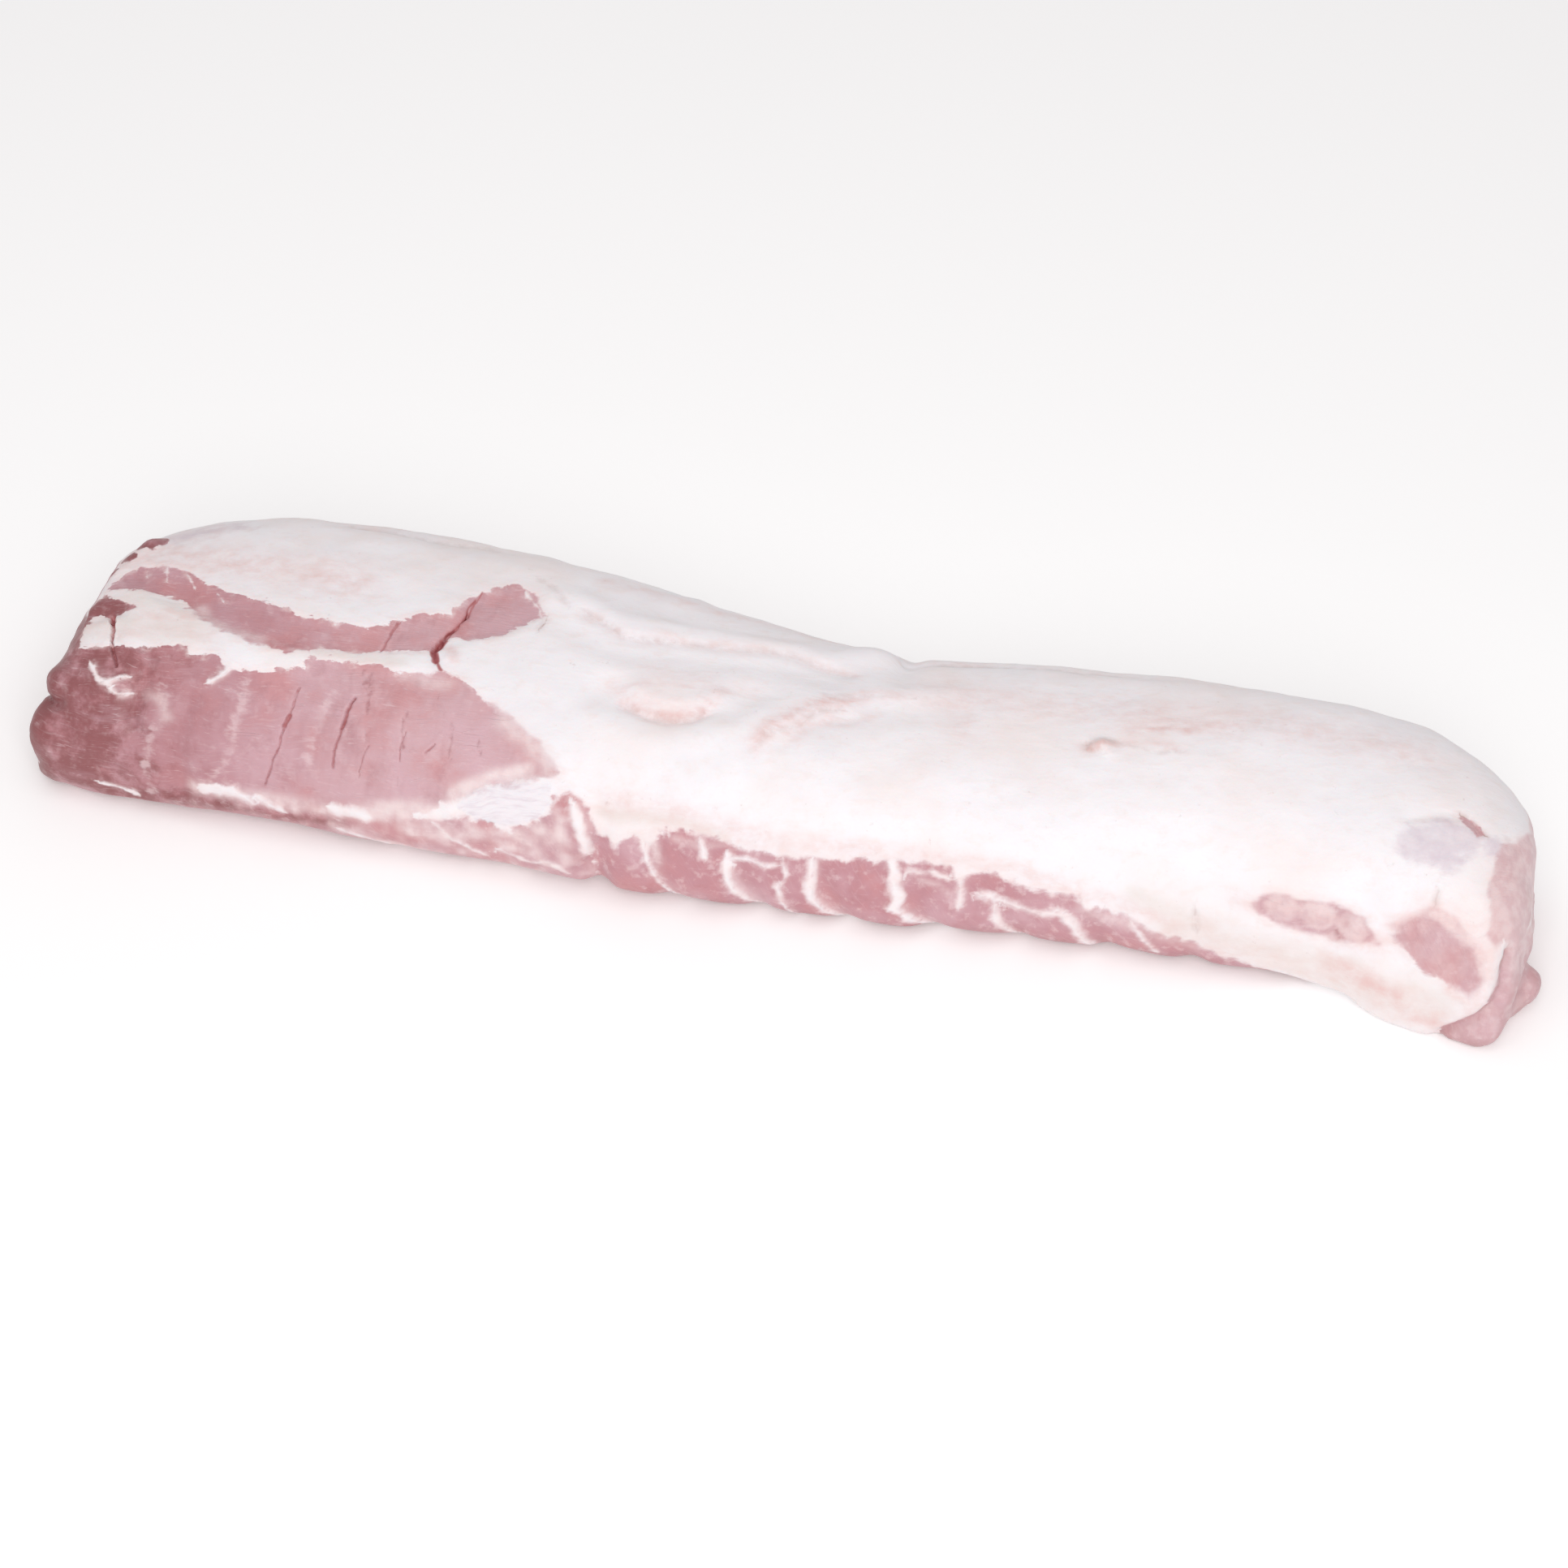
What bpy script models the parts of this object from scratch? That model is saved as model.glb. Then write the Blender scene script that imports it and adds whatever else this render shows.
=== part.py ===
"""A whole boneless pork loin, fat cap up, lying on its bone side: one piece of meat, so one solid.

Metres, +Z up. +X runs from the blade end, where the lean lies open, to the sirloin end, and -Y is the
belly side, where the ribs were cut away. The origin is at the middle of the sole, on the table.

The muscle is a coarse cage of cross-sections under a Subdivision Surface. Butcher's marks are then
pressed into the fine surface on a chart of two numbers: millimetres along the loin, and degrees around
it from the belly side (0 faces -Y, 90 is up, 180 faces +Y).
"""

import math

import bmesh
import bpy
import numpy as np
from mathutils import Vector, noise
from mathutils.bvhtree import BVHTree

MM = 0.001
LOIN_TRIANGLES, FLAP_TRIANGLES = 9600, 800
SURFACE_LEVELS = 4

# The muscle. Each section: along, belly-side edge, chine-side edge, height, in millimetres.
SECTIONS = (
    (-313, -54, 34, 53),
    (-300, -61, 56, 66),
    (-272, -63, 67, 71),
    (-235, -63, 77, 74),
    (-200, -64, 79, 75),
    (-165, -67, 80, 75),
    (-130, -68, 78, 75),
    (-95, -69, 72, 74),
    (-60, -70, 66, 72),
    (-25, -69, 58, 70),
    (10, -67, 52, 67),
    (45, -65, 51, 65),
    (80, -63, 57, 66),
    (115, -60, 59, 68),
    (150, -59, 57, 70),
    (185, -59, 56, 72),
    (220, -62, 53, 74),
    (250, -70, 49, 74),
    (275, -76, 34, 73),
    (294, -76, 18, 67),
    (305, -64, 4, 55),
)
RING_POINTS = 16
WIDEST_AT = 0.36  # share of the height at which a section is widest
SOLE_SINK = 4.0  # how far the underside bulges below the table before it is pressed flat
CHINE_TILT = 0.20  # the crest leans towards the thick chine side
BLADE_CUT = 0.12  # slant of the blade end's cut, in and up

# The chart's axis runs inside the meat, parallel to X.
AXIS_Z = 28.0

# Lean that shows through the fat cap: (along, around) outlines.
FALSE_LEAN = (
    (-291, 104), (-280, 116), (-264, 106), (-246, 96), (-222, 89), (-200, 82), (-177, 83), (-160, 95),
    (-146, 102), (-137, 115), (-124, 124), (-111, 119), (-108, 107), (-121, 92), (-132, 86), (-148, 73),
    (-170, 67), (-193, 64), (-218, 64), (-236, 69), (-252, 78), (-270, 86),
)  # fmt: skip
EYE_LEAN = (
    (-330, 44), (-293, 48), (-270, 52), (-248, 56), (-236, 53), (-224, 48), (-204, 50), (-196, 59),
    (-162, 60), (-138, 63), (-121, 52), (-106, 41), (-88, 26), (-104, 18), (-124, 11), (-146, 2),
    (-178, -3), (-205, -8), (-237, -12), (-280, -20), (-330, -40),
)  # fmt: skip
BLADE_PATCH = ((-300, 66), (-290, 82), (-277, 78), (-280, 70), (-291, 66))
BLADE_FACE_FROM = -298.0  # beyond this the blade end is bare lean all round
SIRLOIN_OVAL = (
    (252, 20), (262, 25), (277, 22), (287, 12), (290, 4), (284, 0), (276, 2), (262, 9),
)  # fmt: skip
SIRLOIN_STRIP = (
    (196, 12), (206, 17), (222, 19), (238, 19), (242, 15), (231, 6), (214, 4), (200, 6),
)  # fmt: skip
LEAN_SINK, LEAN_EDGE = 1.7, 2.5  # the fat cap ends in a step this deep, over this width

# Knife cuts and splits, as wedges: half width, depth, then the line.
CUTS = (
    (2.6, 9.0, ((-137, 118), (-139, 109), (-142, 97), (-147, 83), (-148, 74), (-142, 61))),
    (1.7, 7.0, ((-286, 71), (-281, 58), (-277, 43))),
    (1.4, 5.0, ((-173, 45), (-176, 34), (-176, 27), (-179, 14))),
    (1.4, 5.0, ((-198, 46), (-201, 28), (-205, 10), (-210, -4))),
    (1.2, 3.0, ((-164, 93), (-165, 79), (-167, 65))),
    (1.0, 2.5, ((-163, 28), (-165, 12))),
    (1.0, 2.5, ((-149, 40), (-151, 30), (-149, 21))),
    (1.0, 2.5, ((176, 9), (177, -2))),
)  # fmt: skip
CUT_STEP = 4.5  # a wedge follows its line in steps this long
CUT_WANDER = 0.7  # and strays from it by up to this much

# Folds in the fat cap: half width, height (negative for a furrow), then the line.
FOLDS = (
    (6.0, 1.5, ((-106, 124), (-94, 117), (-78, 109), (-58, 112), (-30, 116), (0, 121), (30, 138))),
    (9.0, -1.6, ((-98, 108), (-78, 97), (-52, 99), (-20, 103), (10, 110))),
    (9.0, -2.6, ((-74, 66), (-60, 60), (-44, 60), (-30, 67), (-20, 80))),
    (7.0, 1.1, ((-74, 52), (-48, 47), (-26, 54))),
    (7.0, 1.3, ((-16, 36), (-12, 57), (0, 74), (20, 94), (42, 103), (62, 112))),
    (10.0, -1.2, ((0, 34), (4, 54), (16, 72), (34, 88), (62, 96))),
    (2.5, -2.5, ((-264, 38), (-266, 26), (-267, 15))),
    (3.5, -2.0, ((-243, 32), (-247, 14), (-246, -6))),
    (5.0, -1.4, ((238, 26), (232, 12), (222, -1), (205, -6))),
    (5.0, -1.4, ((240, 26), (256, 6), (272, -6))),
)  # fmt: skip
KNOB = (128, 79, 8.0, 2.4)  # a gristly button on the cap: along, around, radius, height
HUMP_END = (41, 138, 4.0, -3.2)  # where the thick blade half stops on the crest
HUMP = (24, 136, 16.0, 2.6)

# The belly edge, where ribs were pulled: a white seam at each rib, a pillow of muscle between.
RIB_FIRST, RIB_PITCH, RIB_COUNT = -47.0, 35.0, 7
RIB_SLANT = 0.55  # seams run back as they go under, millimetres per degree
RIB_SINK, PILLOW_RISE, RIB_HALF_WIDTH = 1.7, 1.0, 4.5
BAND_TOP = ((-84, 2), (-70, 12), (-56, 2), (-45, 12), (0, 8), (60, 10), (100, 8), (140, -3), (196, -18))
BELLY_NOTCH = (-67, -12, 4.0, -4.5)  # the step in the belly edge: along, around, half width, height

# Lobes of lean that stand out of the rough blade end: across, up, radius, how proud.
BLADE_LOBES = (
    (-46, 27, 15, 7.5), (-44, 8, 17, 4.0), (-36, 50, 14, 5.0), (-8, 34, 24, 3.5), (24, 30, 22, 4.0),
    (46, 44, 12, 5.0), (30, 60, 9, 4.0), (-14, 58, 12, 2.5), (56, 22, 16, 3.0),
)  # fmt: skip
BLADE_END_DEPTH = 26.0

# The loose flap under the sirloin end: its outline on the table, (along, across), and its thickness.
FLAP_OUTLINE = (
    (228, -50), (246, -69), (266, -74), (280, -71), (291, -79), (299, -72), (304, -58), (313, -47),
    (310, -39), (299, -30), (280, -22), (240, -24),
)  # fmt: skip
FLAP_THICKNESS = 13.0
FLAP_EDGE = ((0.75, -0.35), (1.05, 0.1), (1.05, 0.75), (0.8, 1.1))  # spread and height, from the table up
FLAP_FREE_FROM, FLAP_CURL = 285, 5.0  # its free end lifts off the table

# Soft unevenness of raw meat: size of a swelling, and its height.
SWELLS = ((48.0, 1.3), (19.0, 0.7), (8.0, 0.30))

UNDERSIDE_BELOW = -28.0  # degrees around: under the belly edge the meat is bare where the bones were
CHINE_LEAN_ABOVE = 196.0  # and so is the foot of the chine side
LEAN_COLOUR = (0.61, 0.34, 0.36, 1.0)
FAT_COLOUR = (0.90, 0.83, 0.82, 1.0)


def clear_scene():
    for obj in list(bpy.data.objects):
        bpy.data.objects.remove(obj)


def collection(name):
    made = bpy.data.collections.new(name)
    bpy.context.scene.collection.children.link(made)
    return made


def material(name, colour, roughness):
    made = bpy.data.materials.new(name)
    made.use_nodes = True
    shader = made.node_tree.nodes["Principled BSDF"]
    shader.inputs["Base Color"].default_value = colour
    shader.inputs["Roughness"].default_value = roughness
    shader.inputs["Metallic"].default_value = 0.0
    return made


def object_from(name, mesh, where):
    made = bpy.data.objects.new(name, mesh)
    where.objects.link(made)
    return made


def evaluated_mesh(obj):
    """The object's mesh with its modifiers applied."""
    graph = bpy.context.evaluated_depsgraph_get()
    return bpy.data.meshes.new_from_object(obj.evaluated_get(graph))


def lofted(name, rings):
    """A closed mesh over rings of points in metres, with both ends capped."""
    cage = bmesh.new()
    rings = [[cage.verts.new(point) for point in ring] for ring in rings]
    for ring, following in zip(rings, rings[1:]):
        for k in range(len(ring)):
            after = (k + 1) % len(ring)
            cage.faces.new((ring[k], ring[after], following[after], following[k]))
    cage.faces.new(rings[0][::-1])
    cage.faces.new(rings[-1])
    bmesh.ops.recalc_face_normals(cage, faces=cage.faces)
    mesh = bpy.data.meshes.new(name)
    cage.to_mesh(mesh)
    cage.free()
    return mesh


def subdivided(mesh, where):
    """The mesh under a Subdivision Surface, applied."""
    obj = object_from("cage", mesh, where)
    surface = obj.modifiers.new("surface", "SUBSURF")
    surface.levels = surface.render_levels = SURFACE_LEVELS
    fine = evaluated_mesh(obj)
    bpy.data.objects.remove(obj)
    return fine


# ---------------------------------------------------------------- the cage


def flattened(value, power):
    """A sine or cosine pushed out towards a squarer curve."""
    return math.copysign(abs(value) ** power, value)


def section_ring(along, belly, chine, height):
    """One cross-section: a domed top with a leaning crest over a nearly flat underside."""
    middle, half = (belly + chine) / 2, (chine - belly) / 2
    waist = WIDEST_AT * height
    ring = []
    for k in range(RING_POINTS):
        turn = 2 * math.pi * k / RING_POINTS
        up = math.sin(turn)
        if up >= 0:
            rise = (height - waist) * up**0.85
        else:
            rise = -(waist + SOLE_SINK) * abs(up) ** 0.5
        across = middle - half * flattened(math.cos(turn), 0.8) + CHINE_TILT * rise
        slant = BLADE_CUT * max(0.0, min(1.0, (-260 - along) / 35))
        place = Vector((along + slant * (0.6 * (across - middle) + rise), across, waist + rise))
        ring.append(place * MM)
    return ring


# ---------------------------------------------------------------- the chart


def chart(points):
    """Millimetres along the loin and degrees around it, for points in millimetres."""
    around = np.degrees(np.arctan2(points[:, 2] - AXIS_Z, -points[:, 1]))
    return points[:, 0], np.where(around < -100, around + 360, around)


def step(value):
    """0 below 0, 1 above 1, smooth between."""
    value = np.clip(value, 0, 1)
    return value * value * (3 - 2 * value)


def segment_distance(along, around, start, end):
    """Distance from chart points to one segment, one degree counting as one millimetre."""
    run, rise = end[0] - start[0], end[1] - start[1]
    share = ((along - start[0]) * run + (around - start[1]) * rise) / (run * run + rise * rise)
    share = np.clip(share, 0, 1)
    return np.hypot(along - start[0] - share * run, around - start[1] - share * rise)


def line_distance(along, around, line):
    return np.min([segment_distance(along, around, a, b) for a, b in zip(line, line[1:])], axis=0)


def inside_distance(along, around, outline):
    """Distance to an outline, positive inside it."""
    closed = (*outline, outline[0])
    inside = np.zeros(len(along), bool)
    for (x0, y0), (x1, y1) in zip(closed, closed[1:]):
        if y0 != y1:
            crosses = (around < y0) != (around < y1)
            inside ^= crosses & (along < x0 + (around - y0) * (x1 - x0) / (y1 - y0))
    return np.where(inside, 1, -1) * line_distance(along, around, closed)


def spot(along, around, centre_along, centre_around, radius):
    """1 at a spot's centre, 0 at its radius and beyond."""
    away = np.hypot(along - centre_along, around - centre_around) / radius
    return step(1 - away)


def swells(points):
    """Seeded noise in millimetres, one value for each point."""
    total = np.zeros(len(points))
    for size, height in SWELLS:
        total += height * np.array([noise.noise(Vector(p) / size) for p in points])
    return total


# ---------------------------------------------------------------- the relief


def lean_depth(along, around):
    """How far inside bare lean a point lies."""
    outlines = (FALSE_LEAN, EYE_LEAN, BLADE_PATCH, SIRLOIN_STRIP, SIRLOIN_OVAL)
    bare = [inside_distance(along, around, outline) for outline in outlines]
    return np.max([*bare, BLADE_FACE_FROM - along], axis=0)


def rib_relief(along, around):
    """Pillows of rib muscle along the belly edge, with a furrow at each pulled rib."""
    band_top = np.interp(along, *zip(*BAND_TOP))
    in_band = step((band_top - around) / 5) * step((around + 75) / 20)
    in_band *= step((along + 84) / 8) * step((204 - along) / 20)
    place = along + RIB_SLANT * around
    rib = np.round((place - RIB_FIRST) / RIB_PITCH).clip(0, RIB_COUNT - 1)
    away = np.abs(place - RIB_FIRST - rib * RIB_PITCH)
    pillow = PILLOW_RISE * np.cos(np.pi * (away / RIB_PITCH - 0.5).clip(-0.5, 0.5))
    return in_band * (pillow - RIB_SINK * step(1 - away / (2 * RIB_HALF_WIDTH)))


def relief(points):
    """Height to add along the normal, in millimetres."""
    along, around = chart(points)
    height = swells(points)
    height -= LEAN_SINK * step(lean_depth(along, around) / LEAN_EDGE)
    height += rib_relief(along, around)
    for half_width, rise, line in FOLDS:
        height += rise * step(1 - line_distance(along, around, line) / (2 * half_width))
    for centre_along, centre_around, radius, rise in (KNOB, HUMP):
        height += rise * spot(along, around, centre_along, centre_around, radius)
    for centre_along, centre_around, half_width, rise in (HUMP_END, BELLY_NOTCH):
        ridge = step(1 - np.abs(along - centre_along) / (2 * half_width))
        height += rise * ridge * step(1 - np.abs(around - centre_around) / 40)
    return height


def blade_lobes(points):
    """How far each point is pushed out along -X by the ragged lobes of the blade end."""
    proud = np.zeros(len(points))
    near_end = step((BLADE_END_DEPTH - (points[:, 0] - points[:, 0].min())) / BLADE_END_DEPTH)
    for across, up, radius, push in BLADE_LOBES:
        away = np.hypot(points[:, 1] - across, points[:, 2] - up) / radius
        proud = np.maximum(proud, push * np.sqrt(np.clip(1 - away**2, 0, 1)))
    return (proud - 2.0) * near_end


def carve(mesh):
    """Presses the relief into a fine mesh, along its normals."""
    count = len(mesh.vertices)
    points, normals = np.empty(count * 3), np.empty(count * 3)
    mesh.vertices.foreach_get("co", points)
    mesh.vertex_normals.foreach_get("vector", normals)
    points, normals = points.reshape(-1, 3) / MM, normals.reshape(-1, 3)
    moved = points + normals * relief(points)[:, None]
    moved[:, 0] -= blade_lobes(points)
    mesh.vertices.foreach_set("co", (moved * MM).ravel())
    mesh.update()


# ---------------------------------------------------------------- the flap


def flap_mesh(where):
    """A thin tongue of meat on the table: its outline, stacked with a rounded edge and subdivided."""
    middle = sum((Vector((*point, 0)) for point in FLAP_OUTLINE), Vector()) / len(FLAP_OUTLINE)
    rings = []
    for spread, up in FLAP_EDGE:
        ring = []
        for along, across in FLAP_OUTLINE:
            place = middle + (Vector((along, across, 0)) - middle) * spread
            place.z = up * FLAP_THICKNESS + FLAP_CURL * max(0.0, (along - FLAP_FREE_FROM) / 28)
            ring.append(place * MM)
        rings.append(ring)
    fine = subdivided(lofted("flap_cage", rings), where)
    for vertex, normal in zip(fine.vertices, fine.vertex_normals):
        ripple = 1.6 * noise.noise(vertex.co / (11 * MM)) + 0.7 * noise.noise(vertex.co / (5 * MM))
        vertex.co += normal.vector * ripple * MM
    return fine


# ---------------------------------------------------------------- the knife


def finer_line(line):
    """The line in even steps, straying a little from side to side as a cut in muscle does."""
    legs = np.hypot(*np.diff(line, axis=0).T)
    reach = np.concatenate([[0], np.cumsum(legs)])
    stops = np.linspace(0, reach[-1], max(3, round(reach[-1] / CUT_STEP) + 1))
    points = np.stack([np.interp(stops, reach, column) for column in np.transpose(line)], -1)
    stray = [CUT_WANDER * noise.noise(Vector((along / 5, around / 5, 7))) * 2 for along, around in points]
    return points + np.array(stray)[:, None] * (1, 0)


def wedge(mesh, half_width, depth, line, where):
    """A V-shaped blade along a chart line, closed at both ends, for cutting into the surface."""
    tree = BVHTree.FromPolygons([v.co for v in mesh.vertices], [p.vertices for p in mesh.polygons])
    path, outward = [], []
    for along, around in finer_line(line):
        turn = math.radians(around)
        out = Vector((0, -math.cos(turn), math.sin(turn)))
        path.append(tree.ray_cast(Vector((along, 0, AXIS_Z)) * MM, out)[0])
        outward.append(out)
    rings = []
    for i, (place, out) in enumerate(zip(path, outward)):
        ahead = (path[min(i + 1, len(path) - 1)] - path[max(i - 1, 0)]).normalized()
        side = ahead.cross(out).normalized()
        share = math.sin(math.pi * (i + 0.5) / len(path)) ** 0.5
        wide = half_width * share * MM
        deep = depth * share * MM
        above = place + out * deep
        rings.append((above + side * wide * 2, above - side * wide * 2, place - out * deep))
    return object_from("wedge", lofted("wedge", rings), where)


# ---------------------------------------------------------------- joining


def joined(first, second, operation):
    """first with second added or cut away, as a new mesh on first."""
    boolean = first.modifiers.new(operation.lower(), "BOOLEAN")
    boolean.operation = operation
    boolean.object = second
    mesh = evaluated_mesh(first)
    first.modifiers.remove(boolean)
    first.data = mesh
    bpy.data.objects.remove(second)


def thinned(obj, triangles):
    """Fewer faces where the surface is smooth, so that cuts and lobes keep theirs."""
    obj.data.calc_loop_triangles()
    decimate = obj.modifiers.new("thin", "DECIMATE")
    decimate.ratio = triangles / len(obj.data.loop_triangles)
    mesh = evaluated_mesh(obj)
    obj.modifiers.remove(decimate)
    obj.data = mesh


def press_flat(obj):
    """The table: everything under Z 0 is cut away, which leaves the flat sole."""
    bpy.ops.mesh.primitive_cube_add(size=1, location=(0, 0, -0.05))
    table = bpy.context.object
    table.scale = (0.8, 0.3, 0.1)
    bpy.context.view_layer.update()
    table.data.transform(table.matrix_world)
    table.matrix_world.identity()
    joined(obj, table, "DIFFERENCE")


def coloured(mesh):
    """White fat, and pink lean on the faces where the cap is off."""
    mesh.materials.clear()
    mesh.materials.append(material("pork_fat", FAT_COLOUR, 0.45))
    mesh.materials.append(material("pork_lean", LEAN_COLOUR, 0.4))
    along, around = chart(np.array([polygon.center for polygon in mesh.polygons]) / MM)
    bare = lean_depth(along, around) > 0
    bare |= (around < UNDERSIDE_BELOW) | (around > CHINE_LEAN_ABOVE)
    bare |= (around < np.interp(along, *zip(*BAND_TOP))) & (along > BAND_TOP[0][0])
    mesh.polygons.foreach_set("material_index", bare.astype(np.int32))


def centred(mesh):
    """The origin at the middle of the box's underside."""
    corners = [vertex.co for vertex in mesh.vertices]
    middle = [(min(c[i] for c in corners) + max(c[i] for c in corners)) / 2 for i in (0, 1)]
    for vertex in mesh.vertices:
        vertex.co.x -= middle[0]
        vertex.co.y -= middle[1]
    print("box centre was at", [round(m / MM, 2) for m in middle], "mm")


def main():
    clear_scene()
    meat = collection("pork_loin_parts")
    body = subdivided(lofted("loin_cage", [section_ring(*row) for row in SECTIONS]), meat)
    carve(body)
    loin = object_from("pork_loin", body, meat)
    flap = object_from("flap", flap_mesh(meat), meat)
    thinned(flap, FLAP_TRIANGLES)
    thinned(loin, LOIN_TRIANGLES)
    joined(loin, flap, "UNION")
    for half_width, depth, line in CUTS:
        joined(loin, wedge(loin.data, half_width, depth, line, meat), "DIFFERENCE")
    press_flat(loin)
    coloured(loin.data)
    centred(loin.data)
    loin.data.shade_smooth()
    print("pork_loin:", len(loin.data.vertices), "vertices", len(loin.data.polygons), "faces")


main()
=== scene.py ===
# %% [markdown]
# # A raw boneless pork loin
#
# A boneless loin is one long muscle, the eye, under a cap of hard white fat. It is cut from the back of
# the pig, so it is thick and blunt at the blade end and slimmer towards the sirloin. The butcher has
# trimmed the cap off part of the blade end, where the lean shows, and the ribs have left a row of marks
# along the belly edge. This lesson takes a imported solid of that loin and dresses it: a finer skin, the
# marks of the knife, and one finish that is fat in some places and lean in others.
#
# The solid is loaded first. It is never changed.

# %% Load the solid
import math

import bpy
import numpy as np
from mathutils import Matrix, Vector, noise


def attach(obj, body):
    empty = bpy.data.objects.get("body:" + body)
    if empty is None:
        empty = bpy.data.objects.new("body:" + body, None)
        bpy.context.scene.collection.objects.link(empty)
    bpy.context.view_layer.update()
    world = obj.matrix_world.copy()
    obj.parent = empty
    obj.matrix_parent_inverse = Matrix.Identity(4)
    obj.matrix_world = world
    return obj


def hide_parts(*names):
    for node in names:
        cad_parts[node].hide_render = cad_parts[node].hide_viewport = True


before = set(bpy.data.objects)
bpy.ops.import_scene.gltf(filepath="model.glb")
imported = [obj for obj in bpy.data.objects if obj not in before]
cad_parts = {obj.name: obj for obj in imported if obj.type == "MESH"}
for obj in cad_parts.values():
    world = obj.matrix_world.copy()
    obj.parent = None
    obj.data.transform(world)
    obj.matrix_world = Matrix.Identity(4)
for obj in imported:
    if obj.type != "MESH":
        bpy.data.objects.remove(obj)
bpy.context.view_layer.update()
MM = 0.001

# %% [markdown]
# ## Camera, floor and light
#
# The loin is seen from the belly side, a little from the sirloin end, and from halfway between level
# and straight down. A long lens from nearly two metres keeps both ends the same size.


# %% Camera
def way_out(azimuth, elevation):
    """The way out from the loin, turned and raised by two angles in degrees."""
    turn, tilt = math.radians(azimuth), math.radians(elevation)
    return Vector((math.sin(turn) * math.cos(tilt), -math.cos(turn) * math.cos(tilt), math.sin(tilt)))


LOOK_AT = Vector((1.4, -21.0, 33.0)) * MM
CAMERA_DISTANCE = 1.7  # metres
LENS, SENSOR = 95.6, 36.0  # millimetres

bpy.ops.object.camera_add()
camera = bpy.context.object
camera.data.lens = LENS
camera.data.sensor_width = SENSOR
backwards = way_out(azimuth=12, elevation=45)
camera.location = LOOK_AT + backwards * CAMERA_DISTANCE
camera.rotation_euler = backwards.to_track_quat("Z", "Y").to_euler()
bpy.context.scene.camera = camera
print("camera at", [round(v, 2) for v in camera.location])

# %% [markdown]
# Fat is almost white, so it is easy to lose its form. Broad lights near the camera keep the colours
# even, and a dim world leaves a little grey where the loin rolls away over the back. The plain view
# transform shows a finish's colours as they are given, which a filmic one would dull.


# %% Floor and lights
def area_light(name, azimuth, elevation, distance, size, watts):
    """A square soft light that shines at the middle of the loin."""
    away = way_out(azimuth, elevation)
    bpy.ops.object.light_add(type="AREA", location=away * distance)
    light = bpy.context.object
    light.name = name
    light.data.size = size
    light.data.energy = watts
    light.rotation_euler = away.to_track_quat("Z", "Y").to_euler()


area_light("front_light", azimuth=14, elevation=42, distance=2.2, size=1.3, watts=19)
area_light("top_light", azimuth=-20, elevation=78, distance=2.0, size=1.6, watts=8)

GAP = 0.4 * MM  # keeps the floor a hair below the sole, so that the two never share a plane
bpy.ops.mesh.primitive_plane_add(size=12, location=(0, 0, -GAP))
floor = bpy.context.object
floor.name = "floor"

world = bpy.data.worlds.new("studio")
bpy.context.scene.world = world
world.use_nodes = True
background = world.node_tree.nodes["Background"].inputs
background["Color"].default_value = (1.0, 0.97, 0.972, 1.0)
background["Strength"].default_value = 0.52
bpy.context.scene.view_settings.view_transform = "Standard"

# %% [markdown]
# ## A finer skin
#
# The solid's triangles are about five millimetres long, far too coarse for a knife slit. A copy of it
# could be subdivided, but that keeps every sliver that a cut has left. A voxel remesh pours the same
# shape into even squares instead, and a little smoothing takes off the facets. The remesh is what you
# want whenever a form is right and its faces are not.


# %% Copy and remesh the solid
def only(piece):
    """Selects one object and makes it active, with nothing else selected."""
    bpy.ops.object.select_all(action="DESELECT")
    piece.select_set(True)
    bpy.context.view_layer.objects.active = piece


def modified(piece, kind, **settings):
    """Adds a modifier, sets it and applies it."""
    only(piece)
    modifier = piece.modifiers.new(kind.lower(), kind)
    for name, value in settings.items():
        setattr(modifier, name, value)
    bpy.ops.object.modifier_apply(modifier=modifier.name)


skin = bpy.data.objects.new("loin_skin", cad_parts["pork_loin"].data.copy())
bpy.context.scene.collection.objects.link(skin)
skin.data.materials.clear()
only(skin)
bpy.ops.object.mode_set(mode="EDIT")
bpy.ops.mesh.select_all(action="SELECT")
bpy.ops.mesh.remove_doubles(threshold=0.01 * MM)
bpy.ops.object.mode_set(mode="OBJECT")
modified(skin, "REMESH", mode="VOXEL", voxel_size=1.85 * MM, use_smooth_shade=True)
modified(skin, "SMOOTH", factor=0.5, iterations=6)
print("skin:", len(skin.data.vertices), "points")

# %% [markdown]
# ## A chart of the loin
#
# Marks on the loin are easiest to place on an unrolled chart, like the countries on a globe. The chart
# has two numbers: millimetres along the loin, and degrees around it from the belly side, so 0 faces
# the belly, 90 is up and 180 is the back. The loin is so thick that one degree is about one millimetre.
# Distances on the chart are therefore distances on the meat.

# %% Chart coordinates
CHART_ORIGIN = np.array((1.41, -0.98, 28.0))  # the chart's axis, in millimetres from the loin's origin
FAR = 1e9  # farther than any point is from any line


def points_of(piece):
    """The piece's points in millimetres, as rows."""
    flat = np.empty(len(piece.data.vertices) * 3)
    piece.data.vertices.foreach_get("co", flat)
    return flat.reshape(-1, 3) / MM


def normals_of(piece):
    """Each point's normal, as rows."""
    flat = np.empty(len(piece.data.vertices) * 3)
    piece.data.vertex_normals.foreach_get("vector", flat)
    return flat.reshape(-1, 3)


def chart(points):
    """Millimetres along the loin and degrees around it."""
    along, across, up = (points - CHART_ORIGIN).T
    around = np.degrees(np.arctan2(up, -across))
    return along, np.where(around < -100, around + 360, around)


def smooth_step(value):
    """0 up to 0, 1 from 1, and smooth between."""
    value = np.clip(value, 0, 1)
    return value * value * (3 - 2 * value)


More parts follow.
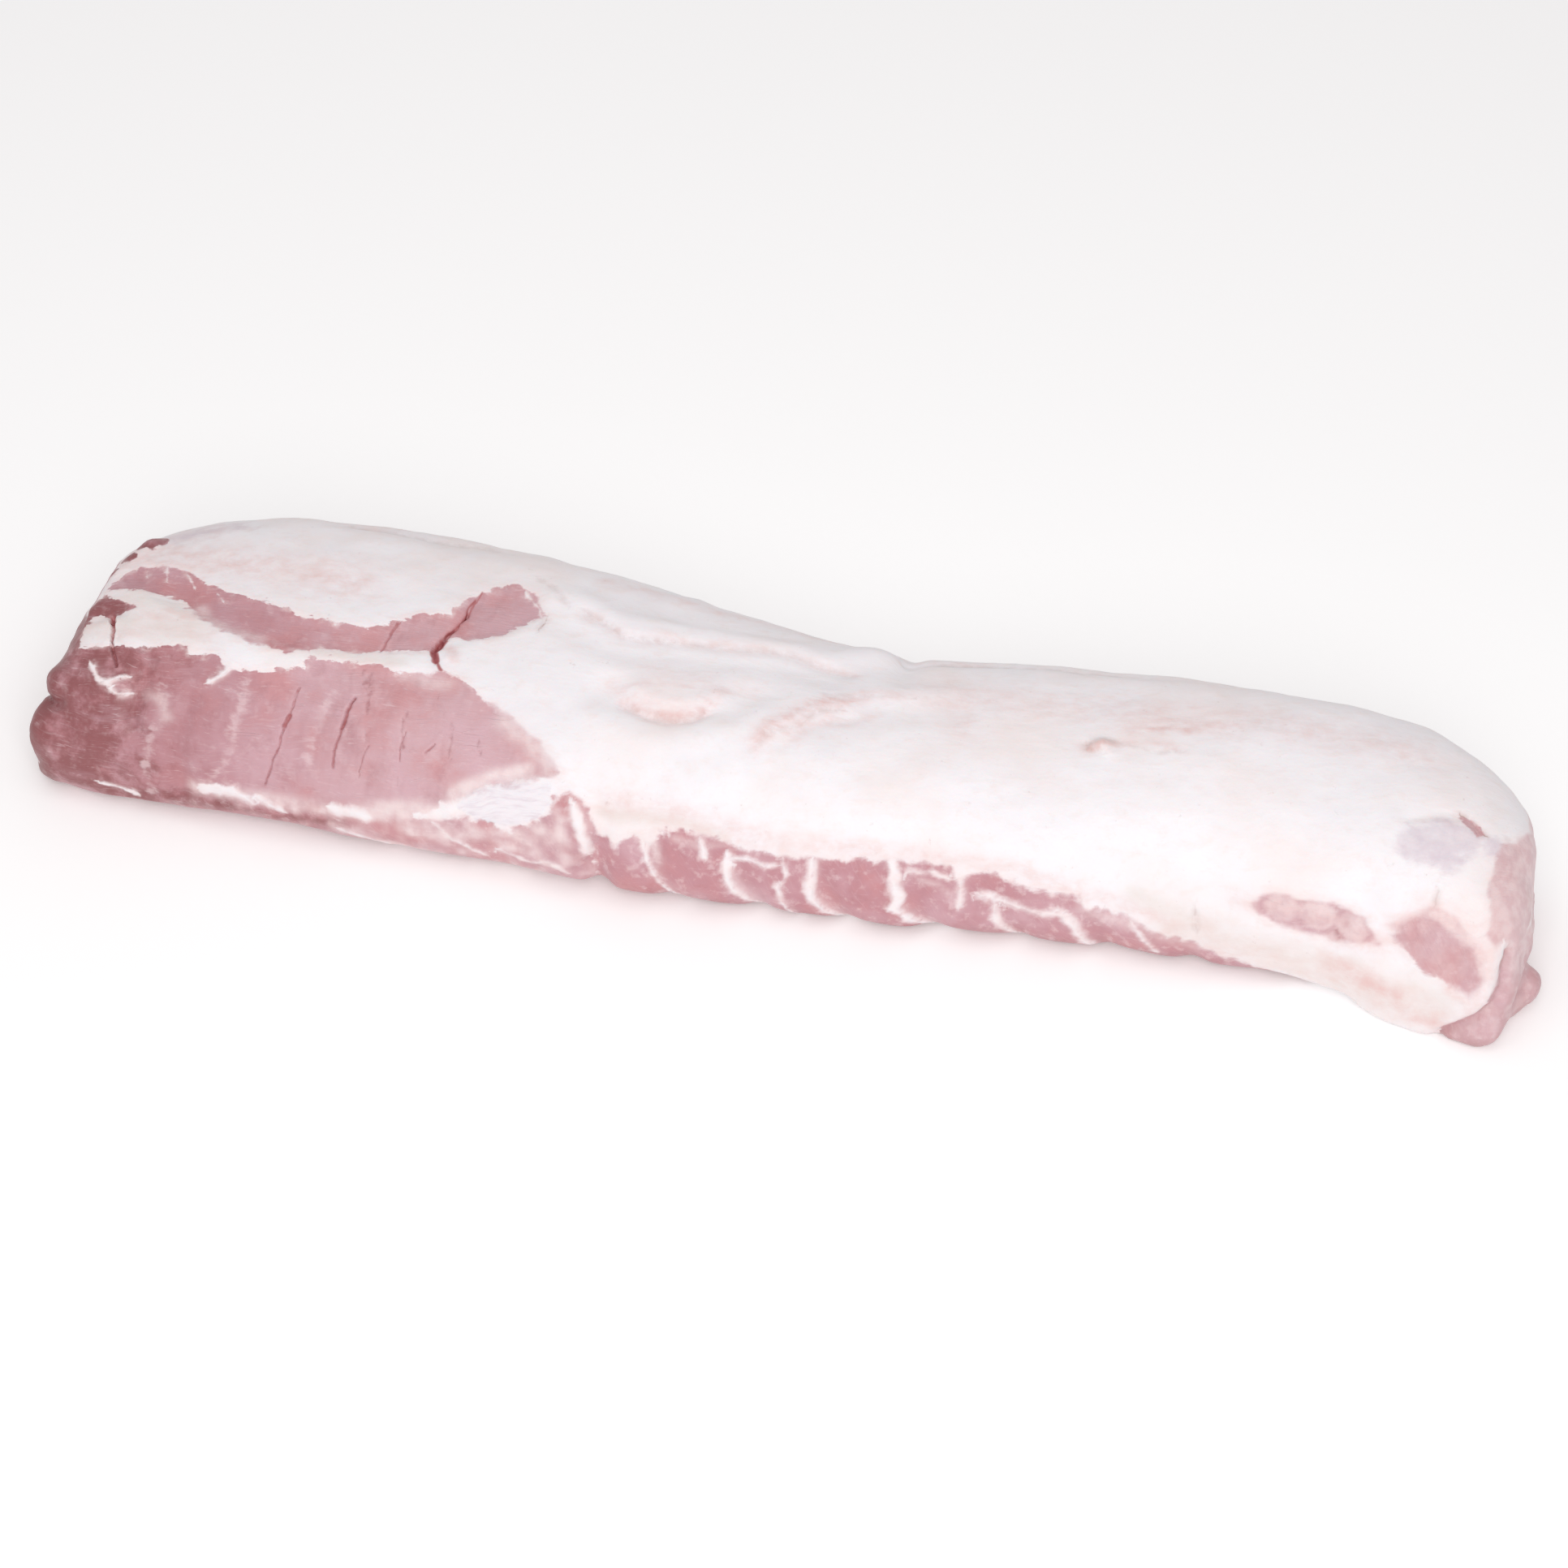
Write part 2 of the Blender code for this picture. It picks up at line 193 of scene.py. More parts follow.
def line_distance(along, around, line):
    """Distance from each chart point to a line of straight runs."""
    nearest = np.full(len(along), FAR)
    for (x0, y0), (x1, y1) in zip(line, line[1:]):
        run, rise = x1 - x0, y1 - y0
        share = np.clip(((along - x0) * run + (around - y0) * rise) / (run**2 + rise**2), 0, 1)
        nearest = np.minimum(nearest, np.hypot(along - x0 - share * run, around - y0 - share * rise))
    return nearest


def side_of(along, around, line):
    """The distance to a line, negative on one side of it, so that it passes through nought on the line."""
    nearest, signed = np.full(len(along), FAR), np.zeros(len(along))
    for (x0, y0), (x1, y1) in zip(line, line[1:]):
        away = line_distance(along, around, ((x0, y0), (x1, y1)))
        side = np.sign((x1 - x0) * (around - y0) - (y1 - y0) * (along - x0))
        signed = np.where(away < nearest, side * away, signed)
        nearest = np.minimum(nearest, away)
    return signed


def inside(along, around, outline):
    """Distance to an outline's edge, positive inside it."""
    closed = (*outline, outline[0])
    within = np.zeros(len(along), bool)
    for (x0, y0), (x1, y1) in zip(closed, closed[1:]):
        if y0 != y1:
            crosses = (around < y0) != (around < y1)
            within ^= crosses & (along < x0 + (around - y0) * (x1 - x0) / (y1 - y0))
    return np.where(within, 1, -1) * line_distance(along, around, closed)


# %% [markdown]
# ## Where the lean shows
#
# These outlines go round each place where the fat cap is off. They hold only the turns that a butcher
# would notice, because the ragged edge comes later, from noise in the finish. The belly strip and the
# rib band run on round the underside, where the meat is bare as well.

# %% Outlines of bare lean
EYE = (
    (-330, 47), (-298, 46), (-288, 51), (-269, 52), (-258, 56), (-249, 57), (-247, 53), (-236, 54),
    (-229, 48), (-213, 50), (-199, 54), (-198, 60), (-186, 60), (-170, 62), (-159, 59), (-147, 61),
    (-141, 64), (-131, 59), (-122, 51), (-111, 46), (-98, 38), (-85, 26), (-98, 21), (-116, 16),
    (-127, 10), (-139, 4), (-150, -2), (-165, -8), (-200, -11), (-243, -16), (-330, -60),
)  # fmt: skip
FALSE_LEAN = (
    (-294, 97), (-289, 109), (-283, 114), (-267, 112), (-259, 108), (-250, 101), (-238, 95),
    (-223, 92), (-204, 84), (-196, 84), (-178, 84), (-170, 88), (-161, 98), (-147, 100), (-141, 114),
    (-134, 121), (-124, 126), (-116, 123), (-108, 110), (-114, 106), (-121, 95), (-128, 89),
    (-137, 86), (-144, 88), (-150, 75), (-164, 72), (-177, 67), (-194, 66), (-206, 61), (-226, 64),
    (-245, 73), (-255, 82), (-257, 89), (-272, 93), (-287, 93),
)  # fmt: skip
BLADE_PATCH = (
    (-330, 76), (-303, 76), (-298, 83), (-293, 92), (-289, 86), (-277, 80), (-283, 72), (-294, 71),
    (-297, 64), (-297, 44), (-330, 40),
)  # fmt: skip
BELLY_STRIP = (
    (-330, -34), (-262, -18), (-243, -12), (-216, -8), (-180, -5), (-150, 2), (-136, 1), (-122, 4),
    (-108, 1), (-97, 4), (-89, 10), (-86, 17), (-80, 20), (-74, 17), (-69, 10), (-66, 4), (-68, -14),
    (-72, -60), (-330, -60),
)  # fmt: skip
RIB_BAND = (
    (-68, 3), (-63, 6), (-58, 1), (-53, -3), (-48, -2), (-43, 9), (-39, 12), (-27, 11), (-16, 10),
    (-10, 7), (10, 6), (32, 8), (59, 10), (76, 10), (79, 5), (90, 9), (111, 5), (127, 4), (132, -1),
    (139, 0), (150, -4), (160, -8), (177, -11), (200, -19), (222, -26), (250, -60), (-72, -60),
)  # fmt: skip
RIB_LOBE = ((-59, -1), (-57, 5), (-52, 8), (-47, 5), (-49, -4), (-54, -6))
BEADS = ((208, 13.5, 6.2), (222, 13.5, 6.4), (236, 12.0, 5.2))  # along, around, radius
BACK_LUMPS = ((-284, 133, 6.4), (-290, 124, 4.2), (-294, 115, 2.6))
BEAD_STRIP = (
    (194, 12), (201, 18), (209, 20), (216, 18), (227, 20), (240, 16), (248, 9), (240, 8), (230, 5),
    (219, 5), (204, 7),
)  # fmt: skip
OVAL_FRINGE = (
    (249, 16), (258, 22), (264, 26), (271, 27), (278, 22), (287, 16), (290, 4), (284, 2), (270, 12),
)  # fmt: skip
MEMBRANE_SPOT = ((270, 66), (276, 65), (282, 58), (279, 56), (273, 61))
SIRLOIN_OVAL = (
    (252, 13), (258, 20), (266, 22), (274, 18), (283, 14), (286, 8), (289, 4), (285, 0), (273, 3),
    (262, 6),
)  # fmt: skip
END_BAND = (
    (288, 54), (294, 58), (299, 70), (302, 90), (304, 130), (304, 180), (300, 200), (330, 200),
    (330, -8), (306, -6), (298, 8), (294, 14), (287, 20), (289, 26), (286, 35), (287, 44),
)  # fmt: skip
print("the eye shows from", EYE[0][0], "to", max(x for x, _ in EYE), "mm along")

# %% [markdown]
# Lines are drawn on the same chart. Some are fat that crosses the lean, such as the seam that each rib
# leaves behind when it is pulled. A seam is thick white along one side and thins out along the other,
# like a wave running up a beach, so each one also has a width for the veil that trails behind it.

# %% Fat over lean
# Half width of solid fat, width of the veil on the sirloin side, then the line.
FAT_LINES = (
    (1.2, 3, ((-289, 40), (-284, 33), (-279, 33))),
    (0.7, 3, ((-280, 33), (-275, 36), (-272, 37))),
    (0.8, 4, ((-279, 30), (-275, 28), (-271, 29))),
    (0.9, 3, ((-228, 51), (-232, 45), (-237, 40))),
    (2.2, 3, ((-236, -6), (-229, -5), (-222, -5))),
    (1.3, 3, ((-222, -5), (-215, -8))),
    (1.1, 3, ((-212, -6), (-206, -8), (-202, -9))),
    (0.6, 2, ((-282, -13), (-274, -14), (-266, -16))),
    (2.1, 2, ((-179, -3), (-172, -3), (-166, -3))),
    (0.5, 4, ((-177, -13), (-168, -15), (-155, -18))),
    (0.3, 3, ((-135, -1), (-129, -7), (-115, -12))),
    (1.9, 2, ((-78, 15), (-75, 9), (-73, 4), (-71, -1))),
    (0.4, 4, ((-108, -8), (-97, -11), (-88, -9), (-80, -12))),
    (0.9, 4, ((-49, 10), (-48, 3), (-46, -3))),
    (0.5, 6, ((-46, -3), (-41, -11), (-30, -22))),
    (0.8, 2, ((-66, 10), (-62, 6), (-57, 9))),
    (0.7, 4, ((-25, 9), (-23, 4))),
    (1.6, 6, ((-14, 3), (-14, -6))),
    (1.0, 9, ((-14, -6), (-10, -12), (0, -22))),
    (0.5, 2, ((-13, 2), (-6, 4), (1, 2), (6, 3))),
    (0.5, 3, ((9, 6), (10, -1), (7, -6))),
    (0.3, 4, ((7, -6), (8, -12), (16, -24))),
    (1.6, 4, ((20, 6), (20, -3), (20, -9))),
    (1.0, 8, ((20, -9), (25, -15), (40, -28))),
    (1.9, 3, ((52, 11), (54, 0), (56, -5), (54, -9))),
    (1.1, 7, ((54, -9), (62, -16), (78, -28))),
    (0.4, 2, ((60, 6), (68, 7), (75, 5))),
    (0.8, 4, ((80, 6), (81, 0), (80, -5))),
    (1.2, 2, ((88, -1), (96, -3), (104, -3))),
    (0.5, 3, ((104, -3), (113, -5), (122, -3))),
    (0.9, 4, ((94, -3), (94, -8), (96, -14), (106, -24))),
    (1.3, 5, ((120, -3), (126, -8), (128, -13), (134, -22))),
    (0.3, 4, ((150, -5), (154, -11), (160, -18))),
    (2.4, 3, ((294, 15), (293, 8), (290, 1), (286, -6))),
    (-0.1, 1, ((-271, 112), (-269, 103))),
    (-0.2, 1, ((-280, 112), (-278, 105))),
    (-0.1, 1, ((-262, 109), (-256, 99))),
    (-0.2, 1, ((-247, 98), (-240, 88))),
    (0.2, 1, ((-119, 122), (-112, 115), (-109, 109))),
)  # fmt: skip
# Veils of fat too thin to hide the lean: strength, half width, then the line.
VEILS = (
    (0.60, 5, ((-112, 42), (-101, 36), (-91, 28))),
    (0.80, 3.5, ((-128, 12), (-114, 20), (-98, 25))),
    (0.85, 4, ((-168, -3), (-150, 2), (-134, 4), (-124, 9))),
    (0.45, 5, ((-156, 58), (-146, 56), (-138, 57))),
    (0.50, 4, ((-250, 84), (-246, 76), (-236, 70), (-220, 66))),
    (0.45, 4, ((-262, 30), (-256, 29), (-253, 22))),
    (0.65, 4, ((-240, -7), (-215, -6), (-190, -6), (-168, -4))),
    (0.60, 5, ((-150, -5), (-135, -5), (-118, -3), (-104, -4))),
    (0.70, 4, ((-110, -1), (-97, -1), (-90, 4))),
    (0.55, 5, ((-84, 10), (-80, 2), (-82, -6))),
    (0.60, 4, ((-178, -12), (-160, -16), (-130, -20), (-100, -22))),
    (0.50, 4, ((249, 15), (254, 9), (262, 5), (274, 2))),
    (0.60, 4, ((276, 22), (284, 17), (290, 10), (290, 2))),
    (0.60, 3, ((289, 50), (288, 40), (289, 30), (290, 22))),
    (0.45, 5, ((130, -2), (150, -6), (176, -12))),
    (0.60, 3, ((-60, 8), (-52, 9), (-44, 7), (-42, 0))),
    (0.45, 2, ((-36, 9), (-26, 7), (-16, 8))),
    (0.45, 2, ((64, 3), (72, 2), (78, -3))),
)  # fmt: skip
# The lens of hard white gristle between the eye and the belly strip.
WHITE_PAD = (
    (-127, 8), (-122, 13), (-114, 17), (-100, 20), (-88, 22), (-87, 15), (-92, 8), (-104, 3), (-118, 3),
)  # fmt: skip
print("lines of fat:", len(FAT_LINES), "and veils:", len(VEILS))

# %% [markdown]
# The two cut ends show several muscles, each in its own thin coat of fat. The chart is no use there,
# because its degrees all meet in the middle of the face, so these seams are drawn straight across the
# end, as distances from the back to the front and from the sole upwards.

# %% Seams on the cut ends
# Which end (-1 blade, 1 sirloin), half width, then the line: across and up, in millimetres.
FACE_SEAMS = (
    (-1, 1.5, ((-16, 72), (-12, 62), (-2, 55), (14, 50), (32, 46), (50, 38), (62, 30))),
    (-1, 0.7, ((30, 46), (33, 34), (31, 22), (38, 10), (46, 1))),
    (-1, 0.6, ((-64, 12), (-46, 14), (-30, 8), (-18, 8), (-6, 1))),
    (-1, 0.4, ((2, 54), (-6, 42), (-4, 30))),
    (1, 0.9, ((-46, 42), (-30, 37), (-8, 34), (14, 27), (32, 14), (40, 1))),
    (1, 0.4, ((-8, 34), (-5, 20), (-14, 5))),
    (1, 0.5, ((50, 44), (38, 41), (26, 46), (14, 58))),
)
print("seams on the ends:", len(FACE_SEAMS))

# %% [markdown]
# Slits and cracks run across the grain, because the muscle opens where it has been bent. On the cap the
# only lines are creases, where the fat has folded and gone a little brown, with painted shade beside each
# fold.

# %% Slits, cracks, pale seams and creases
# Open slits: half width, depth, then the line.
SLITS = (
    (0.5, 0.0, ((-137, 118), (-139, 109), (-142, 97), (-145, 89))),
    (2.1, 0.0, ((-146, 84), (-147, 81), (-148, 75), (-146, 69))),
    (0.9, 0.0, ((-146, 70), (-143, 64))),
    (1.1, 3.0, ((-286, 72), (-285, 67))),
    (0.5, 3.0, ((-285, 67), (-283, 57), (-281, 49), (-278, 41))),
    (0.6, 2.0, ((-175, 43), (-177, 36), (-178, 29))),
    (0.35, 1.4, ((-178, 28), (-180, 20), (-180, 13))),
    (0.6, 1.6, ((-201, 31), (-202, 26))),
    (0.20, 1.2, ((-199, 44), (-201, 31), (-203, 20), (-206, 10), (-209, 0))),
    (0.30, 1.2, ((-166, 92), (-168, 84), (-169, 77), (-170, 70))),
    (0.20, 0.8, ((-151, 32), (-152, 27), (-152, 20))),
    (0.15, 0.8, ((-166, 24), (-168, 16), (-169, 11))),
    (0.15, 0.7, ((-142, 25), (-138, 29))),
)
# Cracks that only dent the grain and darken it, partly with painted shade inside the crack.
CRACKS = (
    ((-171, 57), (-169, 42), (-167, 26)),
    ((-174, 58), (-173, 50)),
    ((-152, 42), (-153, 34), (-151, 26)),
    ((-142, 55), (-140, 44)),
    ((-264, 38), (-267, 29), (-268, 18)),
    ((-259, -2), (-261, -6), (-258, -13)),
    ((-133, 40), (-131, 24)),
    ((-152, 14), (-151, 4)),
    ((-121, 34), (-118, 26)),
    # These two are painted shade in the gaps between the beads.
    ((215, 19), (215, 9)),
    ((229, 18), (230, 8)),
    ((-267, 40), (-269, 30), (-272, 22)),
    ((-263, 14), (-265, 4), (-264, -6)),
)
# Pale seams between bundles of muscle.
PALE_SEAMS = (
    ((-258, 34), (-254, 30), (-256, 21), (-259, 10), (-261, -1), (-258, -12)),
    ((-221, 43), (-222, 30), (-223, 15), (-227, 5), (-236, -5)),
    ((-185, 44), (-188, 30), (-191, 14)),
)
# Creases in the cap, brown with painted shade beside each fold: half width, strength, then the line.
CREASES = (
    (1.2, 0.55, ((-92, 116), (-83, 112), (-75, 106), (-66, 107), (-52, 111), (-40, 113))),
    (1.5, 0.40, ((-40, 113), (-28, 115), (-5, 120), (21, 116))),
    (0.8, 0.50, ((-116, 131), (-109, 126), (-101, 118))),
    (0.5, 0.75, ((-107, 108), (-109, 100))),
    (1.0, 0.50, ((-64, 60), (-56, 57), (-46, 56), (-38, 59), (-32, 66))),
    (0.8, 0.55, ((8, 71), (14, 79), (20, 82))),
    (0.8, 0.45, ((-8, 50), (-5, 58), (2, 62), (6, 66))),
    (0.8, 0.40, ((13, 92), (24, 95), (34, 98))),
    # This one is painted shade below and to the left of the gristle knob.
    (0.9, 0.55, ((121, 82), (122, 78), (127, 77))),
    (0.6, 0.5, ((131, 86), (139, 85), (150, 81), (158, 84))),
    (0.4, 0.6, ((174, 7), (175, -3))),
    (0.4, 0.6, ((267, 35), (266, 28))),
    (0.5, 0.3, ((253, 59), (262, 62), (270, 61))),
    (1.0, 0.9, ((297, 14), (297, 3), (295, -4), (285, -12), (277, -18))),
    (0.8, 0.5, ((-206, 150), (-170, 147), (-140, 149))),
    (0.8, 0.5, ((52, 142), (90, 146), (126, 143))),
    (0.9, 0.9, ((272, 66), (277, 63), (281, 58))),
    (0.6, 0.5, ((290, 58), (296, 52))),
)  # fmt: skip
print("slits:", len(SLITS), "cracks:", len(CRACKS), "creases:", len(CREASES))

# %% [markdown]
# The cap is not one even white. Blood close under it shows pink along its old folds, it yellows to cream
# between the two lean muscles, and in a few places a thin silvery membrane lies on top of it. Low on the
# sirloin half, a wide band of cream and pink is partly the fat's tint and partly painted shade, where the
# loin curves under.

# %% Blushes and membranes
# Blush: how strong, half width, then the line.
BLUSHES = (
    (0.45, 5.0, ((-72, 70), (-61, 64), (-46, 63), (-36, 68), (-27, 78))),
    (1.20, 2.8, ((-66, 62), (-56, 59), (-46, 58), (-38, 61), (-32, 68))),
    (0.60, 1.6, ((-66, 72), (-56, 76), (-40, 78))),
    (0.30, 9.0, ((-60, 80), (-40, 84), (-20, 84))),
    (0.35, 4.0, ((-91, 115), (-74, 106), (-52, 112), (-28, 115), (-5, 120), (21, 116))),
    (0.95, 4.5, ((-9, 50), (-6, 60), (2, 70), (12, 84), (26, 92))),
    (0.50, 7.0, ((4, 60), (14, 72), (28, 80))),
    (0.45, 6.0, ((28, 97), (50, 104), (66, 100), (72, 78))),
    (1.20, 4.2, ((122, 80), (130, 83))),
    (0.45, 3.0, ((131, 86), (145, 90), (158, 84))),
    (0.65, 8.0, ((140, 100), (156, 106), (178, 104))),
    (1.10, 3.0, ((146, 99), (153, 101), (159, 99))),
    (0.42, 12.0, ((60, 112), (110, 110), (180, 112), (250, 104))),
    (0.65, 12.0, ((-285, 122), (-220, 114), (-190, 112))),
    (0.60, 8.0, ((-300, 130), (-280, 140), (-262, 140))),
    (0.60, 5.0, ((-64, 18), (-46, 19), (-30, 17), (-16, 15), (0, 12))),
    (0.50, 3.5, ((0, 12), (40, 13), (96, 13), (136, 6), (170, -4))),
    (0.90, 2.8, ((-141, 77), (-139, 70))),
    (1.00, 5.0, ((234, -4), (246, -6), (258, -8))),
    (0.60, 8.0, ((230, -6), (250, -9), (276, -14))),
    (0.90, 3.5, ((266, -14), (274, -14))),
    (0.70, 3.0, ((276, 2), (284, -3), (288, -8))),
    (0.55, 4.0, ((276, 24), (285, 22), (288, 14), (291, 6), (288, -4))),
    (0.75, 4.5, ((200, 13), (214, 12), (230, 12), (244, 10))),
    (0.35, 6.0, ((190, 14), (246, 8), (254, 14), (262, 24))),
    (0.55, 3.5, ((252, 16), (262, 24), (274, 22))),
    (0.50, 4.0, ((-272, 72), (-252, 74), (-262, 78))),
    (0.40, 5.0, ((-296, 66), (-280, 60), (-256, 66), (-240, 62))),
    # partly painted shade, low on the sirloin half where the loin curves under
    (0.30, 10.0, ((176, -6), (204, -10), (240, -12), (276, -14))),
    (0.50, 9.0, ((-250, 165), (-190, 158), (-120, 172))),
    (0.45, 7.0, ((-60, 168), (10, 160), (60, 172))),
    (0.55, 8.0, ((120, 162), (190, 156), (260, 166))),
    (0.40, 4.0, ((-90, 140), (-40, 142), (30, 150), (70, 146))),
)  # fmt: skip
# Cream: half width, then the line.
CREAMS = (
    (10.0, ((-300, 62), (-276, 66), (-252, 64))),
    (9.0, ((-280, 86), (-262, 82), (-250, 70))),
    (3.5, ((-196, 63), (-176, 64), (-160, 65))),
    (2.5, ((-66, 14), (-46, 15), (-30, 14), (-16, 11))),
    (3.5, ((123, 81), (130, 84))),
    # The next two bands are partly cream and partly painted shade, low on the sirloin half where the loin
    # curves under.
    (5.0, ((150, 8), (180, -2), (210, -8), (240, -2))),
    (11.0, ((168, -4), (205, -9), (240, -12), (272, -8))),
    (8.0, ((-280, 186), (-100, 190), (60, 186), (270, 180))),
)
# Membranes: one made of discs (along, around, radius), one an outline.
SILVER_MEMBRANE = ((257, 49, 9.0), (265, 52, 10.5), (274, 54, 8.0), (285, 53, 4.5), (270, 44, 5.0))
BLADE_MEMBRANE = ((-300, 132), (-276, 127), (-256, 131), (-238, 140), (-250, 150), (-300, 150))
print("blushes:", len(BLUSHES), "and creams:", len(CREAMS))

# %% [markdown]
# ## Knife marks in the skin
#
# The marks are pressed into the skin with the Displace modifier, which moves points along their
# normals. A vertex group says how much each point takes. Painting the group by hand would do for one
# slit, but here the chart does it: the weight comes from the distance to the line. The squares next to
# a slit are halved first, so that its edge stays sharp.


# %% Press heights into a piece
def pressed(piece, name, heights, **direction):
    """Moves each point by its own height in millimetres, along its normal unless told otherwise."""
    for sign in (1, -1):
        part = np.clip(sign * heights, 0, None)
        most = part.max()
        if most < 0.01:
            continue
        group = piece.vertex_groups.new(name=name)
        for index in np.flatnonzero(part > 0.01 * most):
            group.add([int(index)], float(part[index] / most), "REPLACE")
        strength = float(sign * most * MM)
        modified(piece, "DISPLACE", vertex_group=name, mid_level=0, strength=strength, **direction)
        piece.vertex_groups.remove(piece.vertex_groups[name])


def halved_near_slits(piece, reach):
    """Subdivides the faces within reach of a slit, in millimetres."""
    centres = np.array([face.center for face in piece.data.polygons]) / MM
    along, around = chart(centres)
    near = np.min([line_distance(along, around, line) for _, _, line in SLITS], axis=0) < reach
    only(piece)
    bpy.ops.object.mode_set(mode="EDIT")
    bpy.ops.mesh.select_mode(type="FACE")
    bpy.ops.mesh.select_all(action="DESELECT")
    bpy.ops.object.mode_set(mode="OBJECT")
    piece.data.polygons.foreach_set("select", near)
    bpy.ops.object.mode_set(mode="EDIT")
    bpy.ops.mesh.subdivide(number_cuts=1)
    bpy.ops.object.mode_set(mode="OBJECT")


halved_near_slits(skin, 5.0)
halved_near_slits(skin, 2.5)
print("skin with finer slits:", len(skin.data.vertices), "points")

# %% [markdown]
# Three helpers shape every mark. Noise gives lumps, the slope tells open skin from the wall of a slit,
# and a bell is a soft line: full height in the middle, falling away smoothly on both sides.


# %% Lumps, slopes and bells
def lumps(points, size, seed):
    """Seeded noise from -1 to 1, one value for each point."""
    shift = Vector((seed, 2 * seed, 3 * seed))
    return np.array([noise.noise(Vector(p) / size + shift) for p in points])


def outward_share(piece):
    """How far each point's normal faces out from the axis: 1 on open skin, near 0 on a slit's wall."""
    around = np.radians(chart(points_of(piece))[1])
    outward = np.stack([0 * around, -np.cos(around), np.sin(around)], -1)
    return (normals_of(piece) * outward).sum(1)


def bell(distance, width):
    """1 on a line, falling away smoothly over a width."""
    return np.exp(-((distance / width) ** 2))


share = outward_share(skin)
print("points on open skin:", (share > 0.5).sum(), "of", len(share))

# %% [markdown]
# The knobs stand proud of the skin: gristle on the cap, the beads of lean by the sirloin end, and the
# torn lumps at the corners. The furrows are folds in the cap and the grooves between the lobes, and a
# positive height makes a ridge instead.

# %% Knobs and furrows
# Knobs and lumps that stand out: along, around, radius, height.
KNOBS = (
    (127, 83, 4.0, 2.2), (122, 79, 3.0, 1.2), (208, 13.5, 5.0, 1.9), (222, 13.5, 5.0, 2.0),
    (236, 12, 4.2, 1.7), (-140, 72, 3.5, 1.0), (-284, 133, 6.5, 3.0), (-289, 124, 6.0, 1.8),
    (-293, 114, 5.0, 1.2), (-53, 1, 5.0, 0.9), (-129, 6, 4.0, 1.4), (-69, 9, 5.0, 1.0),
    (304, -3, 5.0, 1.4), (296, -16, 5.0, 1.2), (306, 8, 4.0, 1.0), (-309, 3, 9.0, 1.5),
    (-306, 27, 8.0, 1.5), (270, -14, 5.0, 0.8),
)  # fmt: skip
# Furrows and ridges: half width, height, then the line.
FURROWS = (
    (2.5, -3.0, ((-318, 14), (-308, 15), (-300, 18))),
    (2.2, -1.2, ((-74, -12), (-70, -4), (-68, 3))),
    (3.0, -1.0, ((-267, 36), (-268, 24), (-268, 14))),
    (2.5, -0.8, ((-121, 5), (-108, 2), (-97, 5), (-90, 10))),
    (2.2, -2.4, ((297, 14), (297, 3), (295, -4), (285, -12), (276, -19))),
    (
        3.0, -1.1,
        ((-92, 115), (-83, 111), (-75, 105), (-66, 106), (-52, 110), (-28, 114), (-5, 119), (21, 115)),
    ),
    (5.0, 1.1, ((-94, 124), (-78, 118), (-56, 121), (-28, 124), (-4, 128))),
    (5.5, 1.8, ((-62, 69), (-50, 66), (-38, 69), (-30, 76))),
    (2.4, -1.8, ((-66, 60), (-56, 56), (-46, 55), (-38, 58), (-31, 65))),
    (4.0, 0.9, ((-8, 54), (-2, 64), (8, 74), (20, 86))),
    (3.0, -0.8, ((0, 52), (6, 62), (16, 72), (28, 78))),
    (3.0, 1.2, ((291, 14), (291, 3), (288, -4))),
    (2.5, 0.8, ((-78, 15), (-75, 9), (-73, 4), (-71, -1))),
    (1.6, -0.9, ((120, 83), (121, 77), (127, 75))),
    (2.0, -0.7, ((251, 60), (263, 65), (272, 66), (281, 60))),
    (4.0, -1.2, ((-210, 150), (-150, 146), (-100, 156), (-60, 152))),
    (3.0, -1.0, ((40, 140), (90, 146), (150, 142), (190, 150))),
    (6.0, 1.0, ((-240, 172), (-160, 168), (-80, 178))),
    (5.0, 0.9, ((90, 170), (170, 164), (240, 172))),
)  # fmt: skip
print("knobs:", len(KNOBS), "and furrows:", len(FURROWS))

# %% [markdown]
# The widest slit is already a wedge in the solid, because it is deep enough to see from far off. Flesh
# closes again behind the knife, so its lips are moved towards each other here, more at the top of the
# slit than at the bottom, which still gapes. The Displace modifier can push along an axis as well as
# along the normals.

# %% Close the widest slit
along, around = chart(points_of(skin))
turns, middles = (143, 118, 109, 97, 83, 74, 61, 40), (-137, -137, -139, -142, -147, -148, -142, -142)
aside = along - np.interp(around, turns[::-1], middles[::-1])
within = smooth_step((around - 66) / 8) * smooth_step((122 - around) / 6)
closing = -np.interp(around, (62, 76, 92, 118), (0.8, 0.4, 1.5, 2.0)) * np.clip(aside / 2.6, -1, 1)
jagged = 1.3 * lumps(points_of(skin), 5.0, 45) * smooth_step((118 - around) / 8)
reach = smooth_step((10 - np.abs(aside)) / 7)
pressed(skin, "closing", (closing + jagged) * reach * within, direction="X")
print("lips moved by up to", round(float(np.abs((closing + jagged) * reach * within).max()), 1), "mm")

# %% [markdown]
# Everything else is one map of heights, made mark by mark and pressed in at once. A slit is a narrow V
# with lips that stand a little proud, as flesh does when it is cut. A little noise shifts the lines
# before their distance is taken, so no cut is straight. Walls that already stand inside a slit are left
# out, or they would be pushed apart again.


# %% Press the marks
def off(line, stray=0.0):
    """Each point's distance from a line of the chart, which may stray a little from its course."""
    return line_distance(along + stray, around, line)


points = points_of(skin)
along, around = chart(points)
wander = 0.7 * lumps(points, 6.0, 3) + 0.4 * lumps(points, 2.2, 8)  # how far cuts stray from their lines
open_sky = smooth_step((outward_share(skin) - 0.5) / 0.3)
LIP, CRACK_DEPTH, FOLD_DEPTH, SEAM_HEIGHT = 0.25, 0.45, 0.6, 0.45  # millimetres

